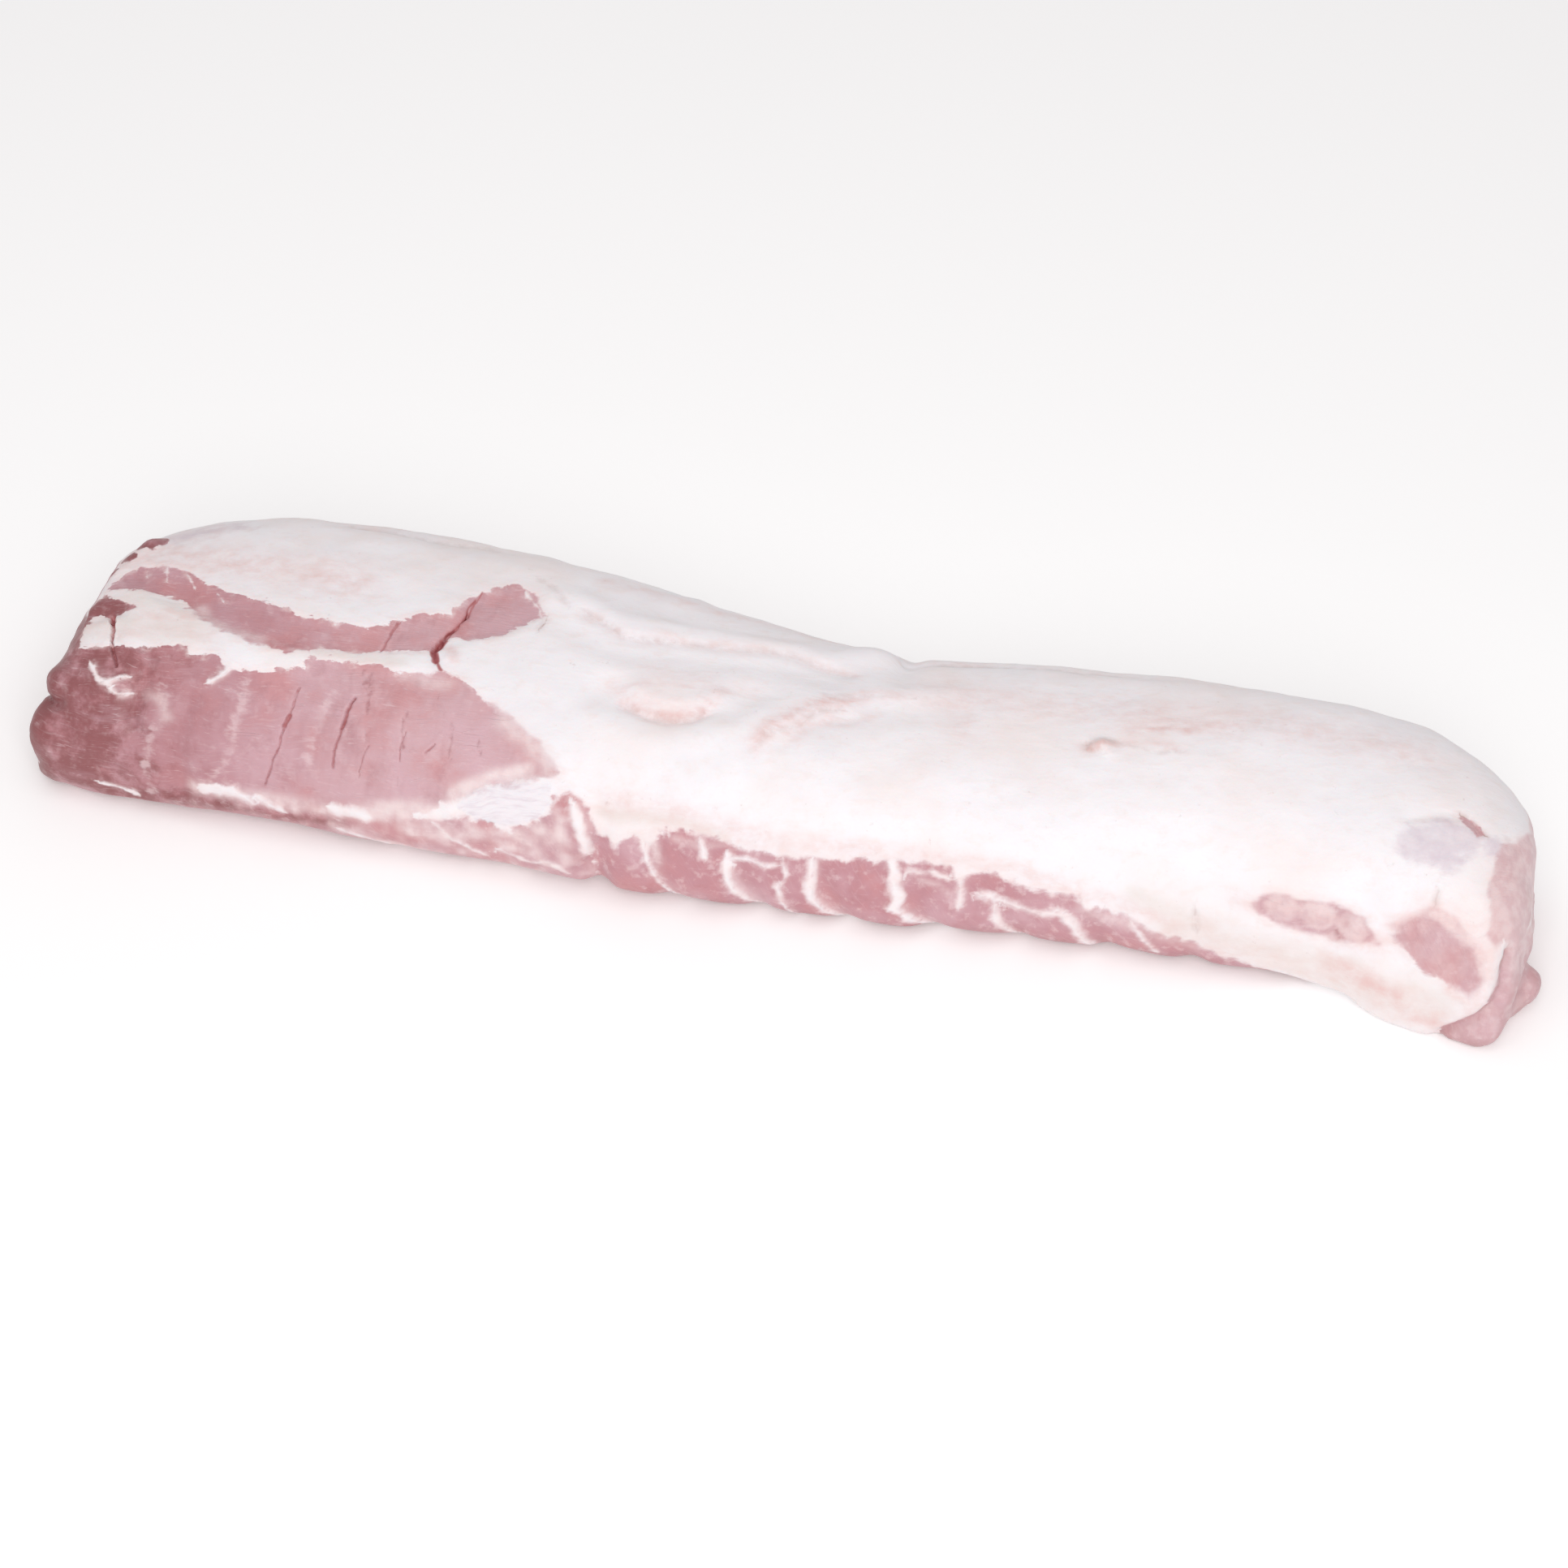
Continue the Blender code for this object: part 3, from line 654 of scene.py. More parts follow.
heights = np.zeros(len(points))
for half_width, depth, line in SLITS:
    away = off(line, wander)
    heights = np.minimum(heights, -depth * (1 - smooth_step(away / (half_width * 1.7 + 0.3))) * open_sky)
    heights += LIP * bell(away - half_width * 2.2 - 0.6, 1.2)
for line in CRACKS:
    heights -= CRACK_DEPTH * bell(off(line, wander), 0.9)
for half_width, strength, line in CREASES:
    heights -= FOLD_DEPTH * strength * bell(off(line, wander), half_width * 1.6)
for half_width, _, line in FAT_LINES:
    heights += SEAM_HEIGHT * bell(off(line, wander), half_width * 1.2)
for half_width, height, line in FURROWS:
    heights += height * bell(off(line, wander), half_width)
for x, turn, radius, height in KNOBS:
    heights += height * bell(np.hypot(along - x, around - turn), radius * 0.8)
pressed(skin, "marks", heights)
print("marks from", round(float(heights.min()), 1), "to", round(float(heights.max()), 1), "mm")

# %% [markdown]
# Meat is never as smooth as a solid. Low noise over the whole skin gives the soft dents of fingers and
# of its own weight, and a stronger one roughens the two cut ends.

# %% Dents and rough ends
ends = smooth_step((-285 - along) / 18) + 0.5 * smooth_step((along - 288) / 12) * (1 + (around < 15))
dents = 0.7 * lumps(points, 38.0, 19) + 0.35 * lumps(points, 17.0, 21) + 0.15 * lumps(points, 6.0, 25)
rough = ends * (1.1 * lumps(points, 13.0, 31) + 0.5 * lumps(points, 5.0, 35))
pressed(skin, "dents", (dents + rough) * smooth_step((points[:, 2] - 1) / 8))
print("dents up to", round(float(np.abs(dents + rough).max()), 1), "mm, and none at the sole")

# %% [markdown]
# ## Painting by distance
#
# The finish has to know where it is: how far inside the lean, how close to a slit. Each answer is worked
# out once for every point and kept on the skin as an attribute, a number that the material can read.
# A distance is a better thing to keep than a mask. A mask blurs between two points, while a distance
# stays true between them, so the edge can be drawn sharp, ragged or soft in the finish. A thin line gets
# its side as well, plus on one and minus on the other, because only a number that passes through nought
# shows where the line runs between two points.


# %% Keep a number for each point
def keep(piece, name, values):
    """Stores one number for each point, for the finish to read."""
    stored = piece.data.attributes.new(name, "FLOAT", "POINT")
    stored.data.foreach_set("value", np.asarray(values, np.float32))


def strongest(*values):
    """The largest of several values at each point."""
    return np.max(values, axis=0)


def into(outline):
    """How far each point lies inside an outline, and below nought outside it."""
    return inside(along, around, outline)


def discs(rows, squeeze=1.0):
    """How far each point lies inside the nearest of several discs: along, around, radius."""
    return strongest(*[radius - np.hypot((along - x) * squeeze, around - turn) for x, turn, radius in rows])


def bands(rows):
    """The strongest of several soft lines: strength, half width, line."""
    return strongest(*[strength * bell(off(line), width) for strength, width, line in rows])


# %% [markdown]
# Several outlines join by taking the largest of their distances. The two cut faces are bare too and are
# found by their slope, and the flap and the underside by their place.

# %% Where the skin is bare
OUTSIDE = -50  # well outside, in millimetres
SLOPE = 30  # turns the slope of a face into about as many millimetres as the other distances have
normals = normals_of(skin)
across, up = points_of(skin)[:, 1:].T

blade_face = np.where(along < -285, (-normals[:, 0] - 0.74) * SLOPE, OUTSIDE)
sirloin_face = np.where(along > 280, (normals[:, 0] - 0.80) * SLOPE, OUTSIDE)
underside = np.where(along < 245, np.maximum(-34 - around, around - 205), OUTSIDE)
flap_edge = np.interp(around, (-18, -12, -4, 3, 13), (275, 282, 293, 295.5, 296.5))
flap = np.minimum(along - flap_edge, 45 - points[:, 2])

false_lean, belly, patch = into(FALSE_LEAN), into(BELLY_STRIP), into(BLADE_PATCH)
ribs, lobe = into(RIB_BAND), into(RIB_LOBE)
oval, spot, end_band = into(SIRLOIN_OVAL), into(MEMBRANE_SPOT), strongest(into(END_BAND), sirloin_face)
beads, bead_film, oval_film = discs(BEADS, squeeze=0.8), into(BEAD_STRIP), into(OVAL_FRINGE)
back_lumps, pad = discs(BACK_LUMPS), into(WHITE_PAD)

lean = strongest(into(EYE), false_lean, belly, patch, ribs, lobe, oval, spot, end_band, beads, bead_film)
lean = strongest(lean, oval_film, back_lumps, blade_face, flap, underside)
lean = np.minimum(lean, -pad)
keep(skin, "lean", lean)
keep(skin, "pad", pad)
print("bare lean:", round(100 * float((lean > 0).mean())), "percent of the points")

# %% [markdown]
# Where several lines of fat run close together, the nearest one counts. The border of the fat is torn,
# but it runs calmer beside these lines, round the small patches and down the eye's long slope.


# %% Lines of fat
def nearest_of(sides):
    """The signed distance to the nearest of several lines, and which of them that is."""
    which = np.argmin(np.abs(sides), axis=0)
    return np.take_along_axis(np.array(sides), which[None], 0)[0], which


sides = [side_of(along + wander, around, line) for _, _, line in FAT_LINES]
for end, _, line in FACE_SEAMS:
    on_face = end * normals[:, 0] > 0.7
    sides.append(np.where(on_face, side_of(across + 2 * wander, up, line), -OUTSIDE))
fat_side, which = nearest_of(sides)
fat_width = np.array([row[0] for row in FAT_LINES] + [row[1] for row in FACE_SEAMS])[which]
keep(skin, "fat_side", fat_side)
keep(skin, "fat_near", np.abs(fat_side))
keep(skin, "fat_width", fat_width)

beside_fat = np.clip(np.abs(fat_side) - fat_width, 0, None)
small = strongest(beads, lobe, spot, end_band, bead_film, oval_film)
slope = off(((-125, 54), (-111, 46), (-98, 38), (-86, 27)))
ragged = np.minimum(1 - 0.50 * bell(beside_fat, 5), 1 - 0.6 * smooth_step(small / 4 + 1.5))
keep(skin, "ragged", np.minimum(ragged, 1 - 0.45 * bell(slope, 7)))
print("points on a line of fat:", (beside_fat == 0).sum())

# %% [markdown]
# The colour of the lean changes from place to place. The rib fingers are the freshest red, and the blade
# end and the torn lumps are the darkest, the blade end partly with painted shade where it turns from the
# light. The foot and the underside rim are darkened with painted shade. The eye pales towards the middle of
# the loin.

# %% Colour of the lean, and painted shade at its foot
fresh = strongest(
    0.50 * smooth_step(belly / 5 + 0.5) + 1.0 * smooth_step(np.maximum(ribs, lobe) / 3 + 0.5),
    0.50 * smooth_step(np.maximum(oval, spot) / 4 + 0.5),
    0.15 * smooth_step(false_lean / 4 + 0.5),
    0.80 * smooth_step(flap / 4 + 0.5),
)
keep(skin, "fresh", np.clip(fresh, 0, 1))

# Dark streaks along the foot of the blade end, partly painted shade low on that end: strength, half width,
# then the line.
DARK_STREAKS_AND_SHADE = (
    (1.10, 8, ((-312, -12), (-270, -17), (-225, -12))),
    (0.55, 9, ((-300, -8), (-240, -8))),
    (0.90, 6, ((-236, -14), (-200, -13), (-176, -9))),
)
# Darker towards the blade end and most on its end face: partly the lean's own colour and partly painted
# shade where that end turns from the light.
dark_and_shade = smooth_step((-196 - along) / 90) * smooth_step((around + 40) / 30) * smooth_step((110 - around) / 50)
dark_and_shade = np.maximum(dark_and_shade, 1.2 * smooth_step((-292 - along) / 14))
dark_and_shade = strongest(
    dark_and_shade * (1 - 0.35 * smooth_step(false_lean / 4 + 0.5)),
    # painted shade along the underside rim, which faces down
    0.65 * smooth_step((-14 - around) / 10),
    1.00 * smooth_step(patch / 4 + 0.6),
    1.10 * smooth_step(back_lumps / 2 + 1),
    0.35 * bell(np.hypot(along + 175, around - 25), 8),
    # painted shadow along the foot, where the loin meets the floor
    0.90 * smooth_step((11 - up) / 10),
    bands(DARK_STREAKS_AND_SHADE),
)
keep(skin, "dark_and_shade", dark_and_shade)
keep(skin, "pale", smooth_step((along + 235) / 80) * smooth_step((-60 - along) / 20))
keep(skin, "end", smooth_step((np.abs(normals[:, 0]) - 0.45) / 0.3) * (np.abs(along) > 270))
print("dark points:", (dark_and_shade > 0.5).sum())

# %% [markdown]
# The border of the fat is knife-sharp in some places and a slow fade in others. Softness is kept as the
# number of millimetres that the fade takes.

# %% Softness of the border
soft = 0.9 + 3.0 * bell(off(((-250, 80), (-236, 70), (-220, 65))), 6)
soft += 4.0 * bell(off(((-116, 46), (-90, 30), (-100, 20), (-124, 12))), 6)
soft += 3.0 * bell(np.hypot(along + 146, around - 62), 6)
soft += 1.2 * smooth_step(strongest(beads, end_band, bead_film, oval_film) / 4 + 1.5)
soft += 1.2 * smooth_step(oval / 4 + 1.5)
soft += (1.2 + 1.2 * smooth_step((along - 60) / 60)) * smooth_step(np.maximum(ribs, belly) / 5 + 1)
soft += 0.8 * bell(beside_fat, 2)
keep(skin, "soft", soft)
print("the border fades over", round(float(soft.min()), 1), "to", round(float(soft.max()), 1), "mm")

# %% [markdown]
# A veil is fat too thin to hide the lean. It trails behind each line of fat on the sirloin side, covers
# the beads, the oval, the flap and the end, and clouds the belly strip. Dark gaps stay round the beads,
# partly the lean showing through and partly painted shade at their feet.

# %% Veils
veil = bands(VEILS)
for half_width, trail, line in FAT_LINES:
    middle = np.interp(around, *zip(*sorted((turn, x) for x, turn in line)))
    past = np.where(along > middle, off(line) - half_width, -OUTSIDE)
    veil = np.maximum(veil, 0.75 * np.exp(-np.clip(past, 0, None) / (0.4 * trail)))
veil = strongest(veil, 0.56 * smooth_step(bead_film / 3 + 1.5), 0.80 * smooth_step(oval_film / 3 + 1.5))
veil = np.where(beads > -2, veil + (0.66 - veil) * smooth_step(beads / 2.0 + 0.4), veil)
# a darker ring round the foot of each bead, partly painted shade
veil -= 0.30 * bell(beads + 0.6, 1.1) * smooth_step(bead_film / 2 + 0.3)
on_end = (0.38 + 0.22 * smooth_step((up - 22) / 20)) * smooth_step(end_band / 3 + 1)
veil = strongest(veil, 0.40 * smooth_step(flap / 3 + 1), on_end)
veil += (0.36 - veil) * smooth_step(np.maximum(oval, spot) / 3 + 0.8)

belly_side = smooth_step(belly / 4 + 0.5) * (1 - smooth_step((-normals[:, 0] - 0.4) / 0.3))
in_belly = 0.26 * belly_side * (0.35 + 0.65 * smooth_step((along + 190) / 30))
fading = 0.02 + 0.09 * smooth_step((along - 50) / 60)  # the fingers fade towards the sirloin
veil = np.maximum(veil, in_belly + fading * smooth_step(ribs / 4 + 0.5))
veil += 0.45 * lumps(points_of(skin), 5.5, 77) * belly_side
keep(skin, "veil", np.clip(veil, 0, 1))
print("veiled points:", (veil > 0.3).sum())

# %% [markdown]
# The lines come last. The walls of a slit are found by their slope: near a slit, a face that has turned
# away from the outward direction must be inside it.

# %% Slits, seams and tints
near_wedge = np.min([off(line) for _, _, line in SLITS[:3]], axis=0)
walls = np.where(near_wedge < 3.5, (0.60 - outward_share(skin)) * 1.6, -2)
keep(skin, "slit", strongest(walls, *[width - off(line, wander) for width, _, line in SLITS]))
keep(skin, "crack", np.min([off(line, wander) for line in CRACKS], axis=0))
keep(skin, "seam", np.min([off(line, wander) for line in PALE_SEAMS], axis=0))

crease_side, which = nearest_of([side_of(along + wander, around, line) for _, _, line in CREASES])
strength = np.array([row[1] for row in CREASES])[which]
keep(skin, "crease_side", crease_side)
keep(skin, "crease_stain_and_shade", strength * smooth_step((4.5 - np.abs(crease_side)) / 3))
keep(skin, "blush", bands(BLUSHES))
keep(skin, "cream", bands([(1.0, width, line) for width, line in CREAMS]))
keep(skin, "silver", np.maximum(discs(SILVER_MEMBRANE), into(BLADE_MEMBRANE) / 3 - 2))

charted = skin.data.attributes.new("chart", "FLOAT_VECTOR", "POINT")
charted.data.foreach_set("vector", (np.stack([along, around, 0 * along], -1) * MM).ravel())
print("attributes:", [attribute.name for attribute in skin.data.attributes if attribute.domain == "POINT"])
print("faces:", sum(len(face.vertices) - 2 for face in skin.data.polygons), "triangles")

# %% [markdown]
# ## Shader maths
#
# A node tree is easier to read as arithmetic. This small class wraps an output socket, and adding or
# multiplying two of them adds the Math node that does it. Everything else goes through one method.


# %% Sockets and finishes
class Socket:
    """A number in a finish, which can be added to, taken away, multiplied and divided."""

    def __init__(self, finish, output):
        self.finish, self.output = finish, output

    def __add__(self, other):
        return self.finish.math("ADD", self, other)

    def __sub__(self, other):
        return self.finish.math("SUBTRACT", self, other)

    def __rsub__(self, other):
        return self.finish.math("SUBTRACT", other, self)

    def __mul__(self, other):
        return self.finish.math("MULTIPLY", self, other)

    def __truediv__(self, other):
        return self.finish.math("DIVIDE", self, other)

    __radd__, __rmul__ = __add__, __mul__


class Finish:
    """A material and the nodes behind its Principled BSDF."""

    def __init__(self, name):
        self.material = bpy.data.materials.new(name)
        self.material.use_nodes = True
        self.shader = self.material.node_tree.nodes["Principled BSDF"]

    def fill(self, socket, value):
        """Links a Socket, or sets a plain value."""
        if isinstance(value, Socket):
            self.material.node_tree.links.new(value.output, socket)
        else:
            socket.default_value = value

    def node(self, kind, settings, sockets, output=0):
        """Adds a node of a kind, sets it up, fills its sockets and gives back one output."""
        made = self.material.node_tree.nodes.new("ShaderNode" + kind)
        for name, value in settings.items():
            setattr(made, name, value)
        for key, value in sockets.items():
            self.fill(made.inputs[key], value)
        return Socket(self, made.outputs[output])

    def math(self, operation, first, second):
        """One Math node."""
        return self.node("Math", {"operation": operation}, {0: first, 1: second})

    def attribute(self, name, output="Fac"):
        """What was kept on the skin under a name."""
        return self.node("Attribute", {"attribute_name": name}, {}, output)

    def ramp(self, value, low, high):
        """0 below low and 1 above high, smooth between."""
        settings = {"interpolation_type": "SMOOTHSTEP"}
        return self.node("MapRange", settings, {"Value": value, "From Min": low, "From Max": high})

    def blend(self, first, second, share):
        """One colour turning into another."""
        return self.node("Mix", {"data_type": "RGBA"}, {0: share, 6: first, 7: second}, 2)

    def coats(self, colour, *layers):
        """Lays tints over a colour, one after the other, each with its share."""
        for tint, share in layers:
            colour = self.blend(colour, tint, share)
        return colour

    def set(self, **sockets):
        """Fills the shader's own sockets: words_like_this name Words Like This."""
        for name, value in sockets.items():
            self.fill(self.shader.inputs[name.replace("_", " ").title()], value)


# %% [markdown]
# Meat has grain: it looks different along the fibres than across them. A Mapping node of the Texture
# kind divides the coordinates by a length and a width, so the noise comes out as strokes of that size.
# Sizes are given in millimetres.


# %% Grain, threads and cells
def stretched(finish, place, length, width, turn=0, seed=0):
    """Coordinates divided by a length and a width, turned on the chart by some degrees."""
    sockets = {
        "Vector": place,
        "Location": (seed * MM, 2 * seed * MM, seed * MM),
        "Rotation": (0, 0, math.radians(turn)),
        "Scale": (length * MM, width * MM, width * MM),
    }
    return finish.node("Mapping", {"vector_type": "TEXTURE"}, sockets)


def grain(finish, place, length, width, turn=0, seed=0, detail=2.0, roughness=0.5):
    """Noise drawn out into strokes of a length and a width."""
    sockets = {"Vector": stretched(finish, place, length, width, turn, seed), "Scale": 1.0}
    sockets.update({"Detail": detail, "Roughness": roughness})
    return finish.node("TexNoise", {}, sockets)


def threads(finish, place, length, width, turn=0, seed=0, fine=0.03):
    """Thin bright lines, where grain passes through its middle value."""
    level = grain(finish, place, length, width, turn, seed, detail=0.6)
    return 1 - finish.ramp(finish.math("ABSOLUTE", level - 0.5, 0), 0.0, fine)


def cells(finish, place, length, width, turn=0, seed=0):
    """Distance from the middles of cells, which gives scalloped edges."""
    sockets = {"Vector": stretched(finish, place, length, width, turn, seed), "Scale": 1.0}
    return finish.node("TexVoronoi", {"voronoi_dimensions": "2D"}, sockets)


# %% [markdown]
# ## The finish of raw pork
#
# One finish covers the whole skin. It works out the lean, then the fat, and then draws the border
# between them. Two materials would need the border to follow the mesh's faces, which shows as steps.
#
# Every pattern reads the chart through a warp, a noise that pushes it about by a few millimetres, so
# that no stroke runs quite straight.

# %% Where the patterns sit
pork = Finish("raw_pork")
place = pork.node("TexCoord", {}, {}, "Object")
unrolled = pork.attribute("chart", "Vector")
swirl = pork.node("TexNoise", {}, {"Vector": place, "Scale": 1 / (22 * MM), "Detail": 1.0}, "Color")
push = pork.node("VectorMath", {"operation": "SUBTRACT"}, {0: swirl, 1: (0.5, 0.5, 0.5)})
push = pork.node("VectorMath", {"operation": "MULTIPLY"}, {0: push, 1: (9 * MM, 9 * MM, 0)})
flow = pork.node("VectorMath", {"operation": "ADD"}, {0: unrolled, 1: push})
print("warp:", len(pork.material.node_tree.nodes), "nodes")

# %% [markdown]
# Lean comes first. The eye muscle is a dusty pink, deeper at the blade end, where painted shade darkens it
# further, as it does along the foot and the underside rim. It has fine pale marbling that follows the grain
# along the loin, bands where the bundles lie side by side, and a few seams across. On the end faces the
# chart shrinks to a point, so its strokes give way to plain mottling there.


# %% Patterns of the lean
def calm(pattern):
    """The pattern along the sides, and plain mottling on the two end faces."""
    return pattern + (mottle * 0.45 + 0.27 - pattern) * at_end


at_end, freshness, darkness_and_shade = (pork.attribute(name) for name in ("end", "fresh", "dark_and_shade"))
mottle = grain(pork, place, 9, 9, seed=23, detail=4, roughness=0.65)
curds = grain(pork, place, 5, 5, seed=57, detail=4, roughness=0.6)
bundles = calm(grain(pork, flow, 30, 10, seed=11, detail=3))
bands_across = calm(grain(pork, flow, 6, 34, turn=-6, seed=17, detail=2))
patches = calm(grain(pork, place, 26, 26, seed=27, detail=3, roughness=0.6))
fibres = grain(pork, flow, 9, 0.9, turn=3, seed=31, detail=3)
slanting = grain(pork, flow, 11, 1.0, turn=-48, seed=37, detail=3)
fibres = calm(fibres + (slanting - fibres) * pork.ramp(freshness, 0.1, 0.4))
dashes = calm(grain(pork, flow, 5, 0.9, turn=2, seed=33, detail=2))
ticks = grain(pork, flow, 5.0, 2.0, seed=41, detail=3)
strokes = threads(pork, flow, 22, 3.0, turn=4, seed=5, fine=0.016) * pork.ramp(bundles, 0.54, 0.66)
strokes = strokes * (1 - at_end) * (1 - freshness * 0.85)
print("patterns of the lean:", len(pork.material.node_tree.nodes), "nodes")

# %% [markdown]
# The patterns are then laid on as tints, one coat over another, as a painter glazes. Each coat has a
# colour and a share, and the share is what makes it show only in its own places.

# %% Colours of the lean
EYE_PINK = (0.560, 0.308, 0.343, 1)
DEEP_PINK = (0.40, 0.160, 0.175, 1)
DUSTY_PINK = (0.640, 0.400, 0.432, 1)
WARM_PINK = (0.61, 0.275, 0.285, 1)
RIB_PINK = (0.540, 0.265, 0.297, 1)
PALE_LILAC = (0.66, 0.425, 0.475, 1)
PALE_THREAD = (0.80, 0.62, 0.64, 1)
CRACK_RED = (0.34, 0.110, 0.120, 1)
BLADE_RED_AND_SHADE = (0.27, 0.088, 0.092, 1)

seam = 1 - pork.ramp(pork.attribute("seam") - (ticks - 0.50) * 10, 0.0, 3.2)
crack = 1 - pork.ramp(pork.attribute("crack") - (mottle - 0.55) * 5, 0.0, 1.3)
lean_colour = pork.coats(
    EYE_PINK,
    (DUSTY_PINK, pork.attribute("pale")),
    (RIB_PINK, freshness),
    (WARM_PINK, pork.ramp(patches, 0.46, 0.68) * 0.65),
    (PALE_LILAC, pork.ramp(patches, 0.52, 0.30) * 0.60),
    # The next two coats follow the darkness: painted shade at the foot and the underside rim, partly
    # painted shade at the blade end.
    (DEEP_PINK, darkness_and_shade * (mottle * 1.6)),
    (BLADE_RED_AND_SHADE, pork.ramp(darkness_and_shade + (mottle - 0.5) * 1.2, 0.70, 1.15) * 0.90),
    (DEEP_PINK, pork.ramp(bands_across, 0.50, 0.78) * 0.18),
    (DEEP_PINK, pork.ramp(mottle, 0.50, 0.74) * 0.28),
    (PALE_LILAC, pork.ramp(bundles, 0.50, 0.78) * 0.35),
    (PALE_THREAD, pork.ramp(fibres, 0.56, 0.80) * 0.20),
    (PALE_THREAD, pork.ramp(dashes, 0.60, 0.80) * (0.36 - freshness * 0.20)),
    (PALE_THREAD, pork.ramp(curds, 0.52, 0.70) * (0.15 + freshness * 0.30)),
    (PALE_THREAD, strokes * 0.24),
    (PALE_THREAD, seam * pork.ramp(mottle, 0.30, 0.60) * 0.60),
    # dark red cracks, partly painted shade inside them
    (CRACK_RED, crack * 0.45),
)
print("with the colours of the lean:", len(pork.material.node_tree.nodes), "nodes")

# %% [markdown]
# Fat is white with a warm cast where it is thick and a cool one where it is thin. Close to the lean it
# turns creamy pink, and it has a few brownish specks. The silvery membrane has a violet tint, and the
# hard gristle is streaked with the same silver.

# %% Patterns of the fat
clouds = grain(pork, place, 42, 42, seed=51, detail=3)
smears = calm(grain(pork, flow, 9, 5, turn=8, seed=61, detail=4, roughness=0.6))
specks = grain(pork, place, 3.2, 3.2, seed=67, detail=3, roughness=0.6)
wrinkles = grain(pork, flow, 10, 1.7, turn=12, seed=63, detail=4, roughness=0.6)
blotches = pork.ramp(smears * 0.6 + curds * 0.4, 0.20, 0.76)

line_away = pork.math("ABSOLUTE", pork.attribute("fat_side"), 0)
line_away = pork.math("MAXIMUM", line_away, pork.attribute("fat_near") - 1.1)
lean_edge = pork.math("MINIMUM", pork.attribute("lean"), line_away - pork.attribute("fat_width"))
near_lean = pork.ramp(lean_edge + (smears - 0.5) * 9, -5.0, 1.5)
silvered = pork.ramp(pork.attribute("silver") + (smears + mottle - 1) * 6, -2.5, 3.0)
on_pad = pork.ramp(pork.attribute("pad") + (curds - 0.5) * 3, -0.5, 1.0)

# A crease is a thin brown line with a wider soft fade beside it, and that fade is painted shade.
folded = pork.attribute("crease_stain_and_shade")
fold_side = pork.math("ABSOLUTE", pork.attribute("crease_side"), 0)
crease_stain_and_shade = (1 - pork.ramp(fold_side, 0.1, 0.7)) * pork.ramp(folded, 0.45, 0.8) * 0.7
crease_stain_and_shade = (crease_stain_and_shade + (1 - pork.ramp(fold_side, 0.3, 3.2)) * 0.40) * folded * pork.ramp(curds, 0.30, 0.60)
print("with the patterns of the fat:", len(pork.material.node_tree.nodes), "nodes")

# %% [markdown]
# The fat is glazed in the same way. The pad of gristle wipes out what lies under it first.

# %% Colours of the fat
FAT_WHITE = (0.915, 0.885, 0.912, 1)
FAT_WARM = (0.89, 0.785, 0.765, 1)
FAT_COOL = (0.868, 0.832, 0.862, 1)
BLUSH_PINK = (0.78, 0.545, 0.525, 1)
CREAM = (0.805, 0.730, 0.700, 1)
EDGE_PINK = (0.83, 0.62, 0.61, 1)
CREASE_BROWN_AND_SHADE = (0.52, 0.36, 0.33, 1)
SILVER = (0.73, 0.640, 0.695, 1)

fat_colour = pork.coats(
    FAT_WHITE,
    (FAT_WARM, pork.ramp(clouds, 0.42, 0.72) * 0.55),
    (FAT_COOL, pork.ramp(clouds, 0.50, 0.25) * 0.5),
    (FAT_WARM, pork.ramp(smears, 0.48, 0.78) * 0.50),
    (FAT_WARM, pork.ramp(curds, 0.54, 0.74) * 0.35),
    (CREAM, pork.attribute("cream") * (0.35 + smears * 0.7)),
    (BLUSH_PINK, pork.attribute("blush") * blotches),
    (CREASE_BROWN_AND_SHADE, pork.ramp(specks, 0.66, 0.80) * 0.30),
    (EDGE_PINK, near_lean * 0.30),
    (SILVER, silvered * (mottle * 1.5)),
    (FAT_WHITE, on_pad),
    (SILVER, on_pad * (0.26 + pork.ramp(wrinkles, 0.42, 0.72) * 0.50)),
    # brown creases and the painted shade beside them
    (CREASE_BROWN_AND_SHADE, crease_stain_and_shade),
)
print("with the colours of the fat:", len(pork.material.node_tree.nodes), "nodes")

# %% [markdown]
# The border is the distance to the outline, shaken by scallops as wide as a fingertip and by finer
# noise, then divided by how soft it is there. A film of fat is left on the lean, as a knife leaves it,
# and the slits are drawn over both: red for the cut flesh, which in the narrow ones also stands in for the
# shade inside them, and darker down their middles, which is painted shade.

# %% The border, the film and the slits
SLIT_RED = (0.46, 0.155, 0.160, 1)
SLIT_DEPTH_SHADE = (0.30, 0.055, 0.062, 1)

scallops = cells(pork, flow, 6.5, 5.5, seed=71)
tears = grain(pork, flow, 5, 3.2, turn=15, seed=73, detail=3, roughness=0.6)
border = (0.42 - scallops) * 3.0 + (tears - 0.5) * 6.0
border = border + ((mottle - 0.5) * 7 - border) * at_end
edge = lean_edge + border * pork.attribute("ragged")
bare = pork.ramp(edge / pork.attribute("soft"), -0.5, 0.6)

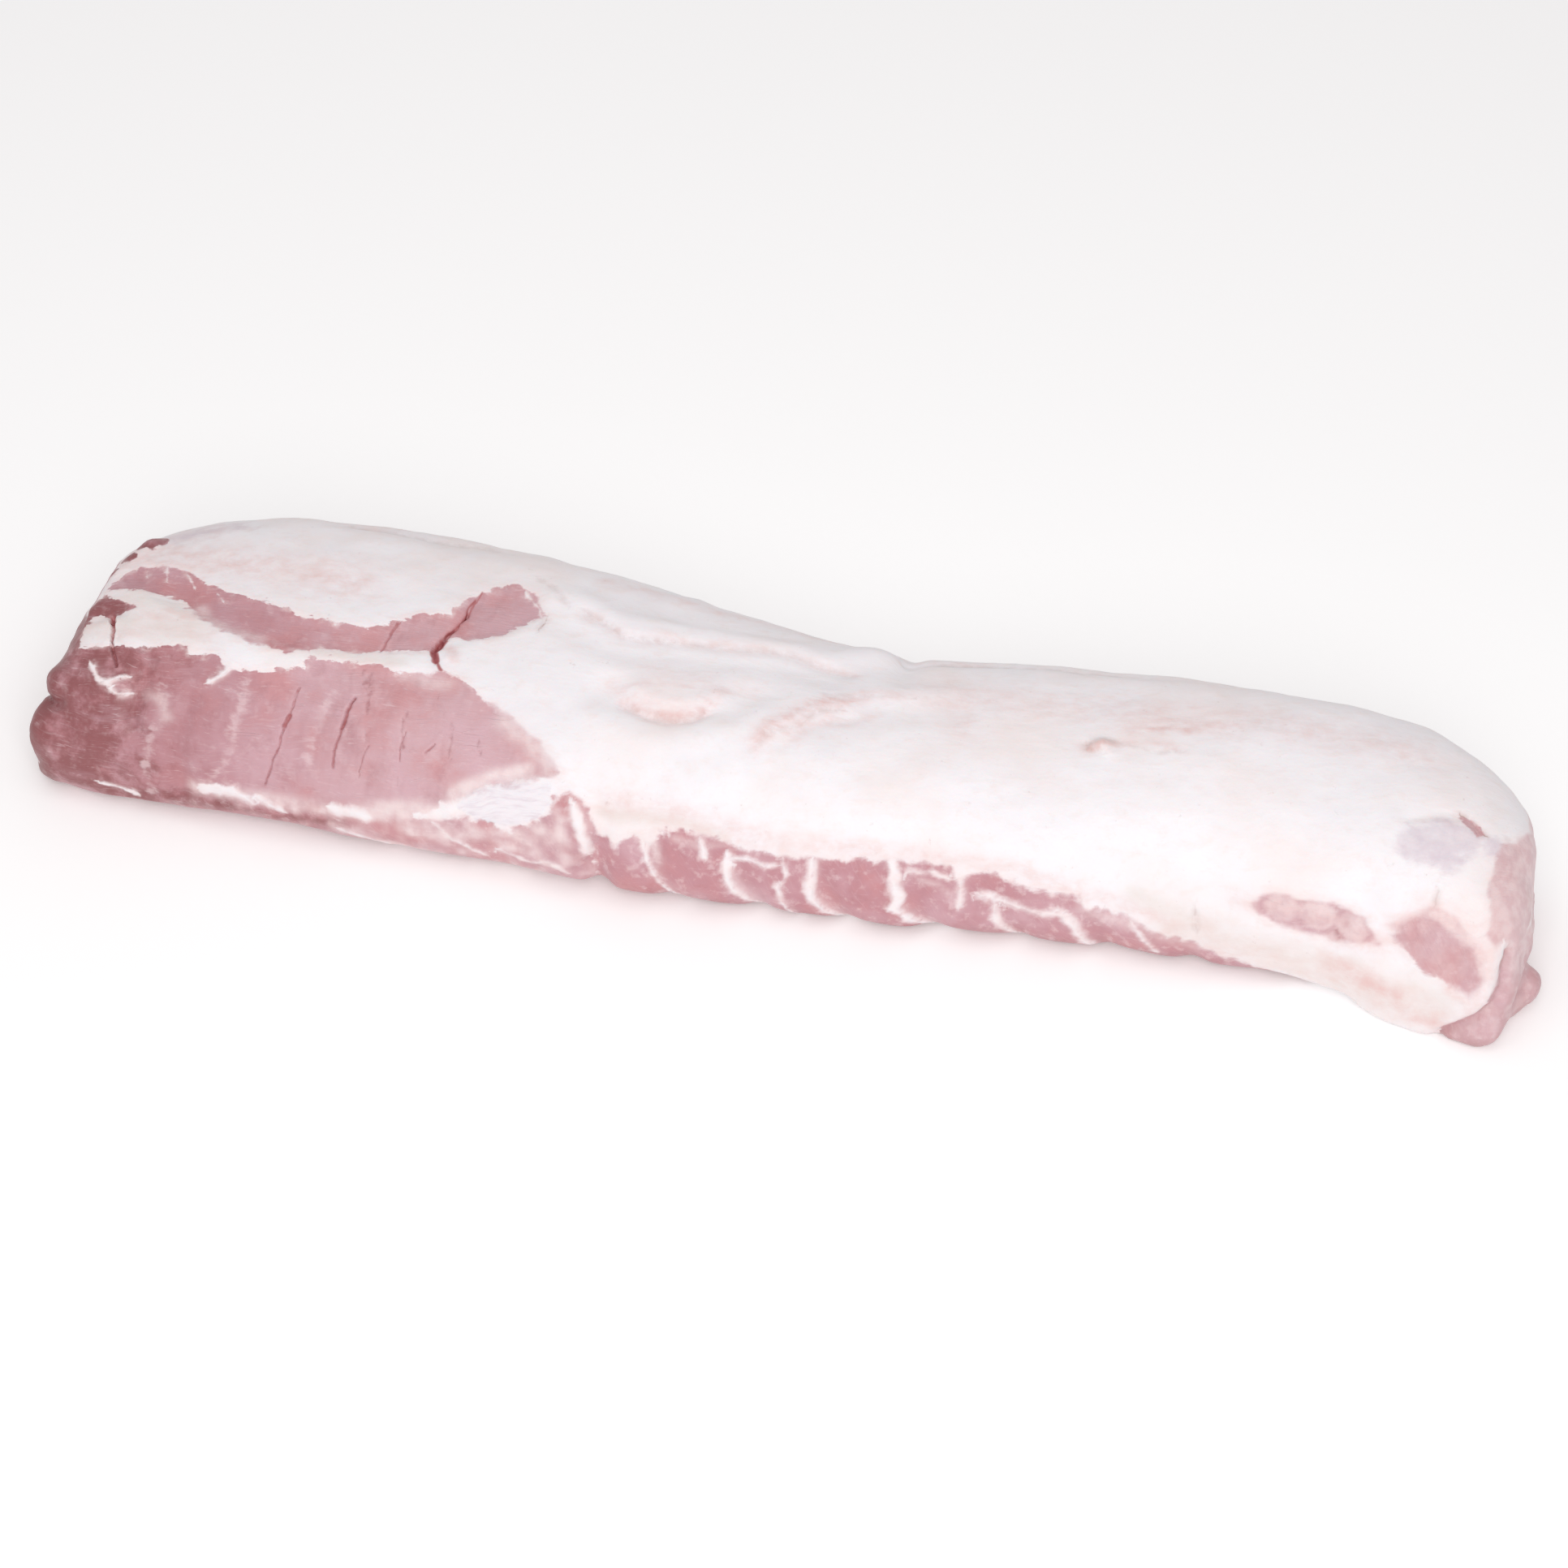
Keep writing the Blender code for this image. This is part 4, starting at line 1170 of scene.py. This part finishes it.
rags = grain(pork, place, 6, 6, seed=83, detail=3, roughness=0.5)
film = (1 - pork.ramp(edge, 0.2, 4.0)) * pork.ramp(rags, 0.42, 0.66) * 0.50
cover = pork.attribute("veil") * (0.78 + pork.ramp(rags, 0.34, 0.66) * 0.35)
film = pork.ramp(pork.math("MAXIMUM", film, cover), 0.0, 1.0)
filmed_lean = pork.blend(lean_colour, pork.blend(fat_colour, EDGE_PINK, 0.45), film)

cut = pork.attribute("slit") + (tears - 0.5) * 0.9
colour = pork.coats(
    fat_colour,
    (filmed_lean, bare),
    # red of the cut flesh, and painted shade inside slits too narrow for the mesh
    (SLIT_RED, pork.ramp(cut, -0.40, 0.60) * 0.95),
    # painted shade down the middle of each slit
    (SLIT_DEPTH_SHADE, pork.ramp(cut, 0.40, 1.3) * 0.75),
)
print("with the border and the slits:", len(pork.material.node_tree.nodes), "nodes")

# %% [markdown]
# Bump gives the small relief that the mesh is too coarse for. Its height is in metres, so each layer
# below is a real depth: the cap ends in a step of a third of a millimetre, and the fibres are less still.

# %% Relief and gloss
step_up = (1 - pork.ramp(edge, -1.5, 1.5)) * 0.30
fat_relief = (1 - bare) * (curds * 0.16 + smears * 0.30)
lean_relief = bare * (fibres * 0.22 + mottle * 0.45 + strokes * 0.10)
silver_relief = (silvered * 0.2 + on_pad) * wrinkles * 0.30
height = (step_up + fat_relief + lean_relief + silver_relief) * MM
bump = pork.node("Bump", {}, {"Strength": 1.0, "Distance": 1.0, "Height": height}, "Normal")

wet = grain(pork, place, 18, 18, seed=91, detail=3)
pork.set(
    base_color=colour,
    roughness=0.50 - bare * 0.08 - pork.ramp(wet, 0.5, 0.75) * 0.12,
    normal=bump,
    subsurface_weight=0.15,
    subsurface_radius=(1.0, 0.5, 0.4),
    subsurface_scale=2.0 * MM,
)
pork.shader.inputs["IOR"].default_value = 1.42
skin.data.materials.append(pork.material)
print("raw_pork in all:", len(pork.material.node_tree.nodes), "nodes")

# %% [markdown]
# The floor is a plain pale sheet that the loin rests on.

# %% Floor finish
paper = Finish("floor_white")
paper.set(base_color=(0.93, 0.93, 0.93, 1), roughness=0.9)
paper.set(emission_color=(1, 1, 1, 1), emission_strength=0.15)
floor.data.materials.append(paper.material)
print("floor finish:", paper.material.name)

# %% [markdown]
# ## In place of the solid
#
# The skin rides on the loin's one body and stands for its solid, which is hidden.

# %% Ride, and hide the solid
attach(skin, "root")
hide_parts("pork_loin")
bpy.context.view_layer.update()
